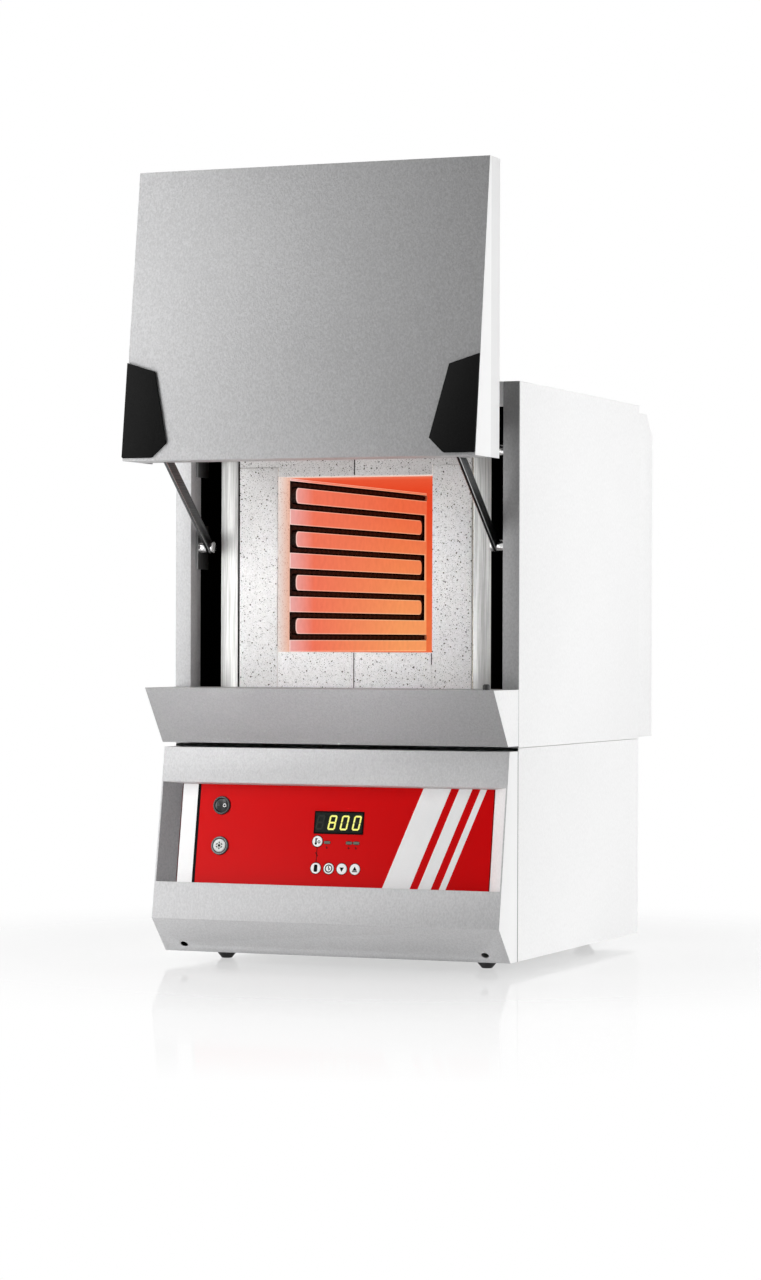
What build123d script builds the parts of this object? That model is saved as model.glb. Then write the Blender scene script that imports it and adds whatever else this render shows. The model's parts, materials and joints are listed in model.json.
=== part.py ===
from build123d import *
import math
import os

# Bench muffle furnace with a parallel-action lifting door, shown with the door up.
# Millimetres. While it is being built, Y = 0 is the front plane of the door columns,
# -Y is towards the user, Z = 0 is the bench and X = 0 is the middle of the front.
# At the end every piece moves back by the same step, so that the origin lies
# on the bench in the middle of the whole outline.

# ------------------------------------------------------------------ driving dimensions
# housings
foot_height = 12.0
foot_radius = 13.0
foot_sole_radius = 6.0
foot_cone_height = 8.4
foot_inset_x = 51.5
foot_inset_front = 38.0
foot_inset_back = 60.0
base_height = 245.1
housing_gap = 0.4
cover_gap = 10.1
panel_sheet = 1.2
front_sheet = 1.5
seam = 0.3

# door columns and the shelf under the door
column_face = 20.0
column_return = 28.0
column_inner_flange = 18.0
linkage_gap = 25.5
chin_lift = 2.0
chin_height = 65.0
chin_top_reach = 83.8
chin_bottom_reach = 34.9
header_drop = 29.0

# heating chamber and its brickwork
chamber_width = 196.0
chamber_height = 208.0
chamber_depth = 490.0
chamber_sill = 42.0
front_setback = 31.0
collar_depth = 37.0
side_brick = 50.0
hearth_brick = 50.0
roof_brick = 50.0
back_brick = 24.0
side_brick_step = 11.0
mortar = 0.4
case_flange = 22.0
case_sheet = 1.2
backing_side = 22.8
backing_over = 42.0
rear_overhang = 96.2

# serpentine grooves and heating coils
groove_runs = 8
groove_width = 7.5
groove_pitch = 26.2
groove_lift = 5.6
groove_depth = 11.0
groove_front_turn = 19.0
groove_back_turn = 12.0
groove_back_land = 6.0
finger_round = 7.0
coil_radius = 3.2
coil_bend_cut = 6.0
coil_sides = 8
lead_radius = 2.5
lead_reach = 22.0
bushing_radius = 6.0
bushing_proud = 6.0
terminal_width = 12.0
terminal_height = 14.0
terminal_length = 12.0
thermocouple_radius = 4.0
thermocouple_reach = 42.0
thermocouple_x = -62.0
thermocouple_drop = 26.0
thermocouple_head = 24.0

# rear cover
rear_cover_inset_x = 22.5
terminal_room = 30.0
rear_cover_inset_top = 5.0
rear_cover_chamfer = 26.0
vent_slot_length = 60.0
vent_slot_height = 5.0
vent_slot_pitch = 14.0
vent_rows = 8

# door
door_top_margin = 14.0
door_top_depth = 33.0
door_bottom_depth = 78.0
door_gap = 2.0
door_lip_depth = 50.0
door_back_flange = 12.0
pan_inset = 2.5
pan_bottom = 12.0
pan_top_margin = 38.5
plug_clearance = 0.5
plug_step = 5.0
handle_thickness = 3.2
handle_outer_height = 115.0
handle_shoulder_height = 104.0
handle_shoulder_width = 35.6
handle_knee_height = 20.0
handle_knee_width = 55.4
handle_foot_width = 37.5
handle_foot_height = 3.0

# parallel linkage
arm_length = 165.5
arm_open_angle = 40.0
arm_closed_angle = 68.3
arm_width = 15.0
arm_thickness = 4.0
arm_spacing = 110.0
pivot_setback = 20.0
pivot_rise = 166.5
stud_radius = 5.0
stud_clearance = 0.06
loose_stud_clearance = 0.5
boss_radius = 7.25
boss_length = 10.1
cap_radius = 7.0
cap_thickness = 3.8
side_play = 0.4
bracket_thickness = 3.0
bracket_half_height = 26.0
bracket_front_margin = 7.0
bracket_back_margin = 23.0
door_bracket_offset = 4.5
door_bracket_flange = 17.0
door_bracket_rise = 25.0

# door switch on the shelf
switch_inset = 4.3
switch_reach = 42.0
plunger_radius = 4.0
plunger_height = 6.4
plunger_stem = 10.0
plunger_clearance = 0.4
switch_hole_clearance = 3.0
switch_body_size = 16.0
switch_body_height = 24.0

# base front: a leaning face, a fold and a face that slopes back to the feet
fascia_top_reach = 29.7
fascia_top_gap = 3.3
fascia_fold_reach = 63.2
fascia_fold_height = 41.2
fascia_foot_reach = 24.3
fascia_hole_radius = 4.5
fascia_hole_inset_x = 28.0
fascia_hole_rise = 12.0
recess_top_margin = 41.5
recess_bottom_margin = 43.3
recess_depth = 18.0
recess_edge = 2.0
recess_cheek = 20.7
panel_thickness = 2.0
panel_window_margin = 10.0

# control panel fittings, placed from the middle of the panel
fitting_bezel_radius = 11.0
fitting_bezel_proud = 2.0
fitting_barrel_radius = 9.4
fitting_barrel_depth = 14.0
fitting_well_radius = 8.6
fitting_well_depth = 8.0
fitting_hole_clearance = 0.2
rocker_inset = 52.3
rocker_drop = 25.3
rocker_radius = 7.9
rocker_thickness = 5.0
rocker_proud = 1.5
rocker_angle = 8.0
rocker_dish_angle = 7.0
rocker_axis_depth = 1.5
trunnion_radius = 1.1
trunnion_end_play = 0.3
button_inset = 53.4
fitting_spacing = 47.7
button_radius = 8.1
button_proud = 2.5
button_thickness = 7.0
display_x = 6.2
display_v = 16.7
display_width = 62.0
display_height = 26.4
display_proud = 0.6
display_clearance = 0.2
key_radius = 6.2
key_hole_radius = 6.75
key_proud = 0.5
key_thickness = 2.4
key_row_x = -19.3
key_row_v = -37.0
key_pitch = 16.4
upper_key_v = -5.6
bar_width = 7.5
bar_height = 3.0
bar_proud = 0.4
bar_v = -6.6
bar_places = (-7.0, 20.5, 29.6)
controller_width = 92.0
controller_margin = 12.3
controller_depth = 60.0
controller_gap = 0.6

# base rear
gland_radius = 11.0
gland_neck_radius = 9.0
gland_length = 22.0
gland_bore_radius = 4.5
gland_inset_x = 60.0
gland_rise = 45.0
screw_radius = 3.5
screw_height = 2.2
screw_inset = 8.0

# ------------------------------------------------------------------ derived places
base_z0 = foot_height
base_z1 = base_z0 + base_height
upper_z0 = base_z1 + housing_gap
chin_z0 = upper_z0 + chin_lift
chin_z1 = chin_z0 + chin_height
floor_z1 = upper_z0 + panel_sheet

chamber_half = chamber_width / 2
chamber_z0 = chin_z1 + chamber_sill
chamber_z1 = chamber_z0 + chamber_height
chamber_y1 = front_setback + chamber_depth
wall_y0 = front_setback + collar_depth
brick_half = chamber_half + side_brick
hearth_z0 = chamber_z0 - hearth_brick
roof_z1 = chamber_z1 + roof_brick
brick_y1 = chamber_y1 + back_brick
case_half = brick_half + backing_side + case_sheet
case_z0 = floor_z1
case_z1 = roof_z1 + backing_over + case_sheet
case_y1 = brick_y1 + case_sheet

column_inner_x = case_half + linkage_gap
half_width = column_inner_x + column_face
inner_half = half_width - panel_sheet
upper_z1 = case_z1 + cover_gap + panel_sheet
cabinet_depth = case_y1 - rear_overhang
rear_cover_depth = rear_overhang + terminal_room

arm_outer_x = column_inner_x - bracket_thickness - boss_length - side_play
arm_inner_x = arm_outer_x - arm_thickness
pivot_height = chin_z1 + pivot_rise
door_closed_y = -door_gap
door_closed_z = chin_z1 + door_gap
door_height = upper_z1 - door_top_margin - door_closed_z
open_angle = math.radians(arm_open_angle)
closed_angle = math.radians(arm_closed_angle)
pin_open_y = pivot_setback - arm_length * math.cos(open_angle)
pin_open_z = pivot_height + arm_length * math.sin(open_angle)
pin_closed_y = pivot_setback - arm_length * math.cos(closed_angle)
pin_closed_z = pivot_height - arm_length * math.sin(closed_angle)
door_y = door_closed_y + pin_open_y - pin_closed_y
door_z = door_closed_z + pin_open_z - pin_closed_z
pin_in_door_y = pin_closed_y - door_closed_y
pin_in_door_z = pin_closed_z - door_closed_z
pan_half_width = case_half - pan_inset
pan_top = door_height - pan_top_margin
switch_x = column_inner_x - switch_inset

door_slope = (door_bottom_depth - door_top_depth) / door_height
door_skin_run = front_sheet * math.sqrt(1 + door_slope**2)

fascia_top_z = base_z1 - fascia_top_gap
fascia_fold_z = base_z0 + fascia_fold_height
fascia_run = fascia_fold_reach - fascia_top_reach
fascia_lean = math.atan2(fascia_run, fascia_top_z - fascia_fold_z)
fascia_length = math.hypot(fascia_run, fascia_top_z - fascia_fold_z)
panel_up = (0, math.sin(fascia_lean), math.cos(fascia_lean))
panel_out = (0, -math.cos(fascia_lean), math.sin(fascia_lean))
recess_height = fascia_length - recess_top_margin - recess_bottom_margin
recess_half = half_width - recess_edge
panel_half = half_width - recess_cheek
panel_width = 2 * panel_half
rocker_x = rocker_inset - panel_half
button_x = button_inset - panel_half
rocker_v = recess_height / 2 - rocker_drop
button_v = rocker_v - fitting_spacing


# ------------------------------------------------------------------ helpers
def block(x0, x1, y0, y1, z0, z1):
    """A box between two corners."""
    return Pos((x0 + x1) / 2, (y0 + y1) / 2, (z0 + z1) / 2) * Box(x1 - x0, y1 - y0, z1 - z0)


def prism_x(outline, x0, x1):
    """A closed (y, z) outline run along X."""
    face = make_face(Plane.YZ * Polyline(*outline, close=True))
    return Pos(x0, 0, 0) * extrude(face, amount=x1 - x0, dir=(1, 0, 0))


def rod_x(radius, x0, x1, y, z):
    """A round rod along X."""
    return Pos((x0 + x1) / 2, y, z) * Rot(0, 90, 0) * Cylinder(radius, abs(x1 - x0))


def rod_y(radius, x, y0, y1, z):
    """A round rod along Y."""
    return Pos(x, (y0 + y1) / 2, z) * Rot(90, 0, 0) * Cylinder(radius, y1 - y0)


def other_side(shape):
    """The left-hand copy of a right-hand shape."""
    return mirror(shape, about=Plane.YZ)


def slots(length, height, pitch, rows, x, y0, y1, z_mid):
    """A column of ventilation slots cut through along Y."""
    cutters = []
    for row in range(rows):
        z = z_mid + (row - (rows - 1) / 2) * pitch
        cutters.append(block(x - length / 2, x + length / 2, y0, y1, z - height / 2, z + height / 2))
    return cutters


pieces = {}


def keep(node, *solids):
    """Files one or more solids under the node's name."""
    pieces[node] = list(solids)


# ------------------------------------------------------------------ upper housing
def build_upper_housing():
    side = block(inner_half, half_width, front_sheet, cabinet_depth, upper_z0, upper_z1)
    keep("side_panel_right", side)
    keep("side_panel_left", other_side(side))

    # channel-shaped column: face, deep inner return and an outer flange inside the side panel
    under_cover = upper_z1 - panel_sheet
    face = block(column_inner_x, half_width, 0, front_sheet, upper_z0, upper_z1)
    inner = block(column_inner_x, column_inner_x + front_sheet, 0, column_return, upper_z0, under_cover)
    outer = block(inner_half - front_sheet, inner_half, 0, column_inner_flange, upper_z0, under_cover)
    column = face + inner + outer
    keep("column_right", column)
    keep("column_left", other_side(column))

    roof = block(-inner_half, inner_half, front_sheet, cabinet_depth, under_cover, upper_z1)
    header = block(-column_inner_x, column_inner_x, 0, front_sheet, upper_z1 - header_drop, upper_z1)
    keep("top_cover", roof + header)

    floor = block(-inner_half, inner_half, column_return, cabinet_depth, upper_z0, floor_z1)
    keep("cabinet_floor", floor)

    back = block(-inner_half, inner_half, cabinet_depth - panel_sheet, cabinet_depth,
                 floor_z1, upper_z1 - panel_sheet)
    back -= block(-case_half - seam, case_half + seam, cabinet_depth - 2 * panel_sheet,
                  cabinet_depth + panel_sheet, floor_z1 - panel_sheet, case_z1 + seam)
    keep("back_panel", back)
    build_rear_cover()
    build_chin()


def build_rear_cover():
    """Box over the chamber's back end, with ventilation slots in its rear wall."""
    cover_half = half_width - rear_cover_inset_x
    z0 = upper_z0
    z1 = upper_z1 - rear_cover_inset_top
    y1 = cabinet_depth + rear_cover_depth
    cover = block(-cover_half, cover_half, cabinet_depth, y1, z0, z1)
    rear_edges = cover.edges().filter_by(Axis.X).group_by(Axis.Y)[-1]
    cover = chamfer(rear_edges.group_by(Axis.Z)[-1], rear_cover_chamfer)
    cover -= offset(cover, amount=-panel_sheet, kind=Kind.INTERSECTION)
    cover -= block(-cover_half + panel_sheet, cover_half - panel_sheet, cabinet_depth - panel_sheet,
                   cabinet_depth + 2 * panel_sheet, z0 + panel_sheet, z1 - panel_sheet)
    for x in (-vent_slot_length, vent_slot_length):
        for cutter in slots(vent_slot_length, vent_slot_height, vent_slot_pitch, vent_rows,
                            x, y1 - 2 * panel_sheet, y1 + panel_sheet, (z0 + z1) / 2):
            cover -= cutter
    keep("rear_cover", cover)


def build_chin():
    """Wedge-shaped shelf below the door, with a tongue that runs in between the columns."""
    outline = [(-chin_top_reach, chin_z1), (-chin_bottom_reach, chin_z0), (0, chin_z0), (0, chin_z1)]
    chin = prism_x(outline, -half_width, half_width)
    hollow = prism_x(outline, -half_width + front_sheet, half_width - front_sheet)
    hollow = offset(hollow, amount=-front_sheet, kind=Kind.INTERSECTION)
    chin -= hollow
    chin -= block(-half_width + 2 * front_sheet, half_width - 2 * front_sheet, -2 * front_sheet,
                  front_sheet, chin_z0 + front_sheet, chin_z1 - front_sheet)
    chin += block(-column_inner_x + seam, column_inner_x - seam, -front_sheet, front_setback - seam,
                  chin_z1 - front_sheet, chin_z1)
    hole = Cylinder(plunger_radius + plunger_clearance, 4 * front_sheet)
    keep("chin_panel", chin - Pos(switch_x, -switch_reach, chin_z1) * hole)


# ------------------------------------------------------------------ chamber
def build_case():
    """Sheet box round the insulation, with a flange on each side of the brick front."""
    outer = block(-case_half, case_half, front_setback, case_y1, case_z0, case_z1)
    inner = block(-case_half + case_sheet, case_half - case_sheet, front_setback + case_sheet,
                  brick_y1, case_z0 + case_sheet, case_z1 - case_sheet)
    mouth = block(-case_half + case_flange, case_half - case_flange, front_setback - case_sheet,
                  front_setback + 2 * case_sheet, case_z0 + case_sheet, case_z1 - case_sheet)
    case = outer - inner - mouth
    for x, z in lead_places():
        case -= rod_y(bushing_radius + mortar, x, brick_y1 - case_sheet, case_y1 + case_sheet, z)
    case -= rod_y(thermocouple_radius + mortar, thermocouple_x, brick_y1 - case_sheet,
                  case_y1 + case_sheet, chamber_z1 - thermocouple_drop)
    keep("inner_case", case)

    inside = case_half - case_sheet
    y0 = front_setback + case_sheet
    side = block(brick_half, inside, y0, brick_y1, case_z0 + case_sheet, case_z1 - case_sheet)
    under = block(-brick_half, brick_half, wall_y0, brick_y1, case_z0 + case_sheet, hearth_z0)
    over = block(-brick_half, brick_half, wall_y0, brick_y1, roof_z1, case_z1 - case_sheet)
    keep("backing_boards", side, other_side(side), under, over)


def build_front_bricks():
    """Collar of bricks round the mouth: two uprights, two stepped lintels and two sills."""
    y0 = front_setback
    y1 = wall_y0
    step_z = chamber_z1 + side_brick_step
    bottom = case_z0 + case_sheet
    top = case_z1 - case_sheet
    upright = block(chamber_half + mortar, brick_half, y0, y1, bottom, step_z)
    keep("side_bricks", upright, other_side(upright))

    lintel = block(mortar / 2, brick_half, y0, y1, step_z + mortar, top)
    lintel += block(mortar / 2, chamber_half, y0, y1, chamber_z1, step_z + mortar)
    keep("lintel_bricks", lintel, other_side(lintel))

    sill = block(mortar / 2, chamber_half, y0, y1, bottom, chamber_z0)
    keep("sill_bricks", sill, other_side(sill))


def groove_run_heights():
    """Middle height of each straight groove run, from the top down."""
    top = (chamber_z0 + chamber_z1) / 2 + groove_lift + (groove_runs - 1) / 2 * groove_pitch
    return [top - run * groove_pitch for run in range(groove_runs)]


def lead_places():
    """Where the coil leads pass through the back wall, as (x, z)."""
    heights = groove_run_heights()
    x = chamber_half + groove_depth / 2
    return [(side * x, z) for side in (-1, 1) for z in (heights[0], heights[-1])]


def groove_cutter():
    """The serpentine groove: one pocket from which round-nosed fingers are kept."""
    heights = groove_run_heights()
    y0 = wall_y0
    y1 = chamber_y1 - groove_back_land
    finger_height = groove_pitch - groove_width
    finger_radius = min(finger_round, finger_height / 2 - mortar)
    x0 = chamber_half - mortar
    x1 = chamber_half + groove_depth
    pocket = block(x0, x1, y0 - mortar, y1, heights[-1] - groove_width / 2, heights[0] + groove_width / 2)
    for z in (heights[0], heights[-1]):
        pocket += block(x0, x1, y1 - groove_back_turn, chamber_y1 + mortar,
                        z - groove_width / 2, z + groove_width / 2)
    for run in range(groove_runs - 1):
        z = (heights[run] + heights[run + 1]) / 2
        front_turn = run % 2 == 0
        finger_y0 = y0 + groove_front_turn if front_turn else y0 - 2 * groove_back_turn
        finger_y1 = y1 + 2 * groove_back_turn if front_turn else y1 - groove_back_turn
        finger = block(x0 - mortar, x1 + mortar, finger_y0, finger_y1,
                       z - finger_height / 2, z + finger_height / 2)
        nose = finger.edges().filter_by(Axis.X).group_by(Axis.Y)[0 if front_turn else -1]
        pocket -= fillet(nose, finger_radius)
    return pocket


def build_chamber():
    wall = block(chamber_half, brick_half, wall_y0, chamber_y1, chamber_z0, chamber_z1)
    wall -= groove_cutter()
    keep("element_wall_right", wall)
    keep("element_wall_left", other_side(wall))
    keep("chamber_roof", block(-brick_half, brick_half, wall_y0, brick_y1, chamber_z1, roof_z1))
    keep("chamber_floor", block(-brick_half, brick_half, wall_y0, brick_y1, hearth_z0, chamber_z0))

    back = block(-brick_half, brick_half, chamber_y1, brick_y1, chamber_z0, chamber_z1)
    for x, z in lead_places():
        back -= rod_y(bushing_radius, x, chamber_y1 - mortar, brick_y1 + mortar, z)
    sheath_z = chamber_z1 - thermocouple_drop
    back -= rod_y(thermocouple_radius, thermocouple_x, chamber_y1 - mortar, brick_y1 + mortar, sheath_z)
    keep("chamber_back", back)

    sheath_y0 = chamber_y1 - thermocouple_reach
    sheath = rod_y(thermocouple_radius, thermocouple_x, sheath_y0, case_y1 + bushing_proud, sheath_z)
    sheath = chamfer(sheath.edges().group_by(Axis.Y)[0], thermocouple_radius / 3)
    head = block(thermocouple_x - thermocouple_head / 2, thermocouple_x + thermocouple_head / 2,
                 case_y1, case_y1 + thermocouple_head / 2,
                 sheath_z - thermocouple_head / 2, sheath_z + thermocouple_head / 2)
    keep("thermocouple", sheath + head)


def build_coils():
    """One coil on each side, laid along the groove, with a straight lead at each end."""
    heights = groove_run_heights()
    x = chamber_half + groove_depth / 2
    y_front = wall_y0 + coil_radius + mortar + coil_radius
    y_back = chamber_y1 - groove_back_land - coil_radius - mortar
    points = [(x, y_back, heights[0])]
    for run in range(groove_runs - 1):
        y_turn, inward = (y_front, coil_bend_cut) if run % 2 == 0 else (y_back, -coil_bend_cut)
        z0, z1 = heights[run], heights[run + 1]
        points.append((x, y_turn + inward, z0))
        points.append((x, y_turn, z0 - coil_bend_cut))
        points.append((x, y_turn, z1 + coil_bend_cut))
        points.append((x, y_turn + inward, z1))
    points.append((x, y_back, heights[-1]))
    path = Polyline(*points)
    section = Plane(origin=path @ 0, z_dir=path % 0) * RegularPolygon(coil_radius, coil_sides)
    coil = sweep(section, path=path, transition=Transition.RIGHT)
    lead_y1 = case_y1 + lead_reach
    for z in (heights[0], heights[-1]):
        coil += rod_y(lead_radius, x, y_back - coil_radius, lead_y1, z)
    keep("heating_coil_right", coil)
    keep("heating_coil_left", other_side(coil))

    bushings = []
    terminals = []
    bore = lead_radius + mortar
    for x_lead, z in lead_places():
        tube = rod_y(bushing_radius, x_lead, chamber_y1, case_y1 + bushing_proud, z)
        bushings.append(tube - rod_y(bore, x_lead, wall_y0, lead_y1, z))
        y0 = lead_y1 - terminal_length
        clamp = block(x_lead - terminal_width / 2, x_lead + terminal_width / 2, y0, lead_y1 + mortar,
                      z - terminal_height / 2, z + terminal_height / 2)
        terminals.append(clamp - rod_y(lead_radius, x_lead, y0 - mortar, lead_y1, z))
    keep("lead_bushings", *bushings)
    keep("coil_terminals", *terminals)


# ------------------------------------------------------------------ linkage
def link_bar(y0, z0, y1, z1, far_clearance):
    """Flat bar with round ends and a bore at each end, on the right-hand side."""
    length = math.hypot(y1 - y0, z1 - z0)
    plane = Plane(origin=(arm_inner_x, y0, z0), x_dir=(0, y1 - y0, z1 - z0), z_dir=(1, 0, 0))
    outline = Pos(length / 2, 0) * SlotCenterToCenter(length, arm_width)
    outline -= Circle(stud_radius + stud_clearance)
    outline -= Pos(length, 0) * Circle(stud_radius + far_clearance)
    return extrude(plane * outline, amount=arm_thickness)


def stud(y, z, root_x):
    """Shouldered stud that points inwards from a plate at root_x and carries one bar."""
    shoulder_x = arm_outer_x + side_play
    tip_x = arm_inner_x - side_play
    return rod_x(boss_radius, shoulder_x, root_x, y, z) + rod_x(stud_radius, tip_x, shoulder_x, y, z)


def cap(y, z):
    """Round retaining cap on the tip of a stud."""
    x1 = arm_inner_x - side_play
    disc = rod_x(cap_radius, x1 - cap_thickness, x1, y, z)
    return chamfer(disc.edges().group_by(Axis.X)[0], cap_thickness / 4)


def build_linkage():
    plate_x = column_inner_x - bracket_thickness
    brackets = []
    caps = []
    for lift in (0, arm_spacing):
        z = pivot_height + lift
        plate = block(plate_x, column_inner_x, pivot_setback - bracket_front_margin,
                      pivot_setback + bracket_back_margin, z - bracket_half_height, z + bracket_half_height)
        bracket = plate + stud(pivot_setback, z, plate_x)
        brackets += [bracket, other_side(bracket)]
        caps += [cap(pivot_setback, z), other_side(cap(pivot_setback, z))]
    keep("pivot_brackets", *brackets)
    keep("pivot_caps", *caps)

    lower = link_bar(pivot_setback, pivot_height, pin_open_y, pin_open_z, stud_clearance)
    keep("lower_arm_right", lower)
    keep("lower_arm_left", other_side(lower))
    upper = link_bar(pivot_setback, pivot_height + arm_spacing, pin_open_y, pin_open_z + arm_spacing,
                     loose_stud_clearance)
    keep("upper_arm_right", upper)
    keep("upper_arm_left", other_side(upper))


# ------------------------------------------------------------------ door
def door_skin_y(z):
    """Inner face of the leaning front skin at a height above the door's lower edge."""
    return -door_bottom_depth + door_slope * z + door_skin_run


def build_door():
    """Everything here is drawn at the door's own corner and then moved to the open place."""
    place = Pos(0, door_y, door_z)
    outline = [(0, 0), (-door_bottom_depth, 0), (-door_top_depth, door_height), (0, door_height)]
    shell = prism_x(outline, -half_width, half_width)
    inner_x = half_width - front_sheet
    top_in = door_height - front_sheet
    cavity = [(-front_sheet, front_sheet), (door_skin_y(front_sheet), front_sheet),
              (door_skin_y(top_in), top_in), (-front_sheet, top_in)]
    shell -= prism_x(cavity, -inner_x, inner_x)
    window_x = half_width - door_back_flange
    shell -= block(-window_x, window_x, -2 * front_sheet, front_sheet,
                   -front_sheet, door_height - door_back_flange)
    shell -= block(-inner_x, inner_x, door_lip_depth - door_bottom_depth, front_sheet,
                   -front_sheet, 2 * front_sheet)
    slot_y0 = pin_in_door_y - arm_width / 2 - side_play
    for side in (-1, 1):
        slot_x = sorted((side * (arm_inner_x - 2 * side_play), side * (arm_outer_x + side_play)))
        shell -= block(slot_x[0], slot_x[1], slot_y0, front_sheet, -front_sheet, 2 * front_sheet)
    switch_y = -switch_reach - door_closed_y
    shell -= Pos(switch_x, switch_y, 0) * Cylinder(plunger_radius + switch_hole_clearance, 4 * front_sheet)
    keep("door_shell", place * shell)

    inside_z0 = pan_bottom + front_sheet
    inside_z1 = pan_top - front_sheet
    pan_outline = [(0, pan_bottom), (door_skin_y(pan_bottom), pan_bottom),
                   (door_skin_y(pan_top), pan_top), (0, pan_top)]
    hollow = [(front_sheet, inside_z0), (door_skin_y(inside_z0) - front_sheet, inside_z0),
              (door_skin_y(inside_z1) - front_sheet, inside_z1), (front_sheet, inside_z1)]
    wool_half = pan_half_width - front_sheet
    pan = prism_x(pan_outline, -pan_half_width, pan_half_width) - prism_x(hollow, -wool_half, wool_half)
    keep("door_pan", place * pan)

    wool_outline = [(0, inside_z0), (door_skin_y(inside_z0), inside_z0),
                    (door_skin_y(inside_z1), inside_z1), (0, inside_z1)]
    plug_y = front_setback - plug_clearance - door_closed_y
    plug = block(-wool_half + plug_step, wool_half - plug_step, -plug_step, plug_y,
                 inside_z0 + plug_step, inside_z1 - plug_step)
    plug = chamfer(plug.edges().group_by(Axis.Y)[-1], plug_step)
    keep("door_insulation", place * (prism_x(wool_outline, -wool_half, wool_half) + plug))

    build_door_brackets(place)
    build_handles(place)


def build_door_brackets(place):
    """Angle brackets that hang the door on the bars, bolted behind the front skin."""
    web_x0 = arm_outer_x + door_bracket_offset
    web_x1 = web_x0 + bracket_thickness
    z0 = plunger_height - door_gap + plunger_clearance
    z1 = pin_in_door_z + arm_spacing + door_bracket_rise
    back_y = pin_in_door_y + door_bracket_rise
    web = prism_x([(back_y, z0), (door_skin_y(z0), z0), (door_skin_y(z1), z1), (pin_in_door_y, z1),
                   (back_y, z1 - door_bracket_rise)], web_x0, web_x1)
    flange = prism_x([(door_skin_y(z0) + bracket_thickness, z0), (door_skin_y(z0), z0),
                      (door_skin_y(z1), z1), (door_skin_y(z1) + bracket_thickness, z1)],
                     web_x0, web_x0 + door_bracket_flange)
    bracket = web + flange
    caps = []
    for lift in (0, arm_spacing):
        bracket += stud(pin_in_door_y, pin_in_door_z + lift, web_x0)
        caps.append(place * cap(pin_in_door_y, pin_in_door_z + lift))
        caps.append(place * other_side(cap(pin_in_door_y, pin_in_door_z + lift)))
    keep("door_brackets", place * bracket, place * other_side(bracket))
    keep("door_pin_caps", *caps)


def build_handles(place):
    """Moulded corner grips on the lower corners of the front skin."""
    front = Plane(origin=(half_width, -door_bottom_depth, 0), x_dir=(1, 0, 0), z_dir=(0, -1, door_slope))
    outline = Polyline((0, handle_foot_height), (0, handle_outer_height),
                       (-handle_shoulder_width, handle_shoulder_height),
                       (-handle_knee_width, handle_knee_height),
                       (-handle_foot_width, handle_foot_height), close=True)
    grip = extrude(front * make_face(outline), amount=handle_thickness)
    grip = chamfer(grip.faces().sort_by(Axis.Y)[0].edges(), handle_thickness / 3)
    keep("door_handle_right", place * grip)
    keep("door_handle_left", place * other_side(grip))


def build_door_switch():
    """Plunger that the closing door's right bracket reaches, in a hole of the shelf."""
    top = chin_z1 + plunger_height
    stem = Pos(switch_x, -switch_reach, chin_z1 - plunger_stem / 2 + plunger_height / 2)
    plunger = stem * Cylinder(plunger_radius, plunger_stem + plunger_height)
    plunger = chamfer(plunger.edges().group_by(Axis.Z)[-1], plunger_radius / 3)
    keep("door_switch_plunger", plunger)

    under = chin_z1 - front_sheet
    body = block(switch_x - switch_body_size / 2, switch_x + switch_body_size / 2,
                 -switch_reach - switch_body_size / 2, -switch_reach + switch_body_size / 2,
                 under - switch_body_height, under)
    well = Pos(switch_x, -switch_reach, under - switch_body_height / 2 + plunger_radius)
    body -= well * Cylinder(plunger_radius + plunger_clearance, switch_body_height)
    keep("door_switch_body", body)


# ------------------------------------------------------------------ base
def panel_place(x, v, out=0.0):
    """A place on the front of the control panel, v up along its leaning face."""
    return Location(panel_plane) * Pos(x, v, out)


fascia_top = Vector(0, -fascia_top_reach, fascia_top_z)
recess_middle = fascia_top - Vector(*panel_up) * (recess_top_margin + recess_height / 2)
panel_plane = Plane(origin=recess_middle - Vector(*panel_out) * (recess_depth - panel_thickness),
                    x_dir=(1, 0, 0), z_dir=panel_out)


def recess_prism(wall):
    """The panel's recess with slanting cheeks, made larger all round by a wall."""
    start = recess_middle - Vector(*panel_up) * (recess_height / 2 + wall)
    plane = Plane(origin=start, x_dir=(1, 0, 0), z_dir=panel_up)
    seat = recess_depth - panel_thickness
    mouth = -front_sheet if wall == 0 else 0
    side = [(recess_half, mouth), (recess_half + wall, 0), (panel_half + seam + wall, seat),
            (panel_half + seam + wall, recess_depth + wall)]
    outline = side + [(-x, y) for x, y in reversed(side)]
    return extrude(plane * make_face(Polyline(*outline, close=True)), amount=recess_height + 2 * wall)


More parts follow.
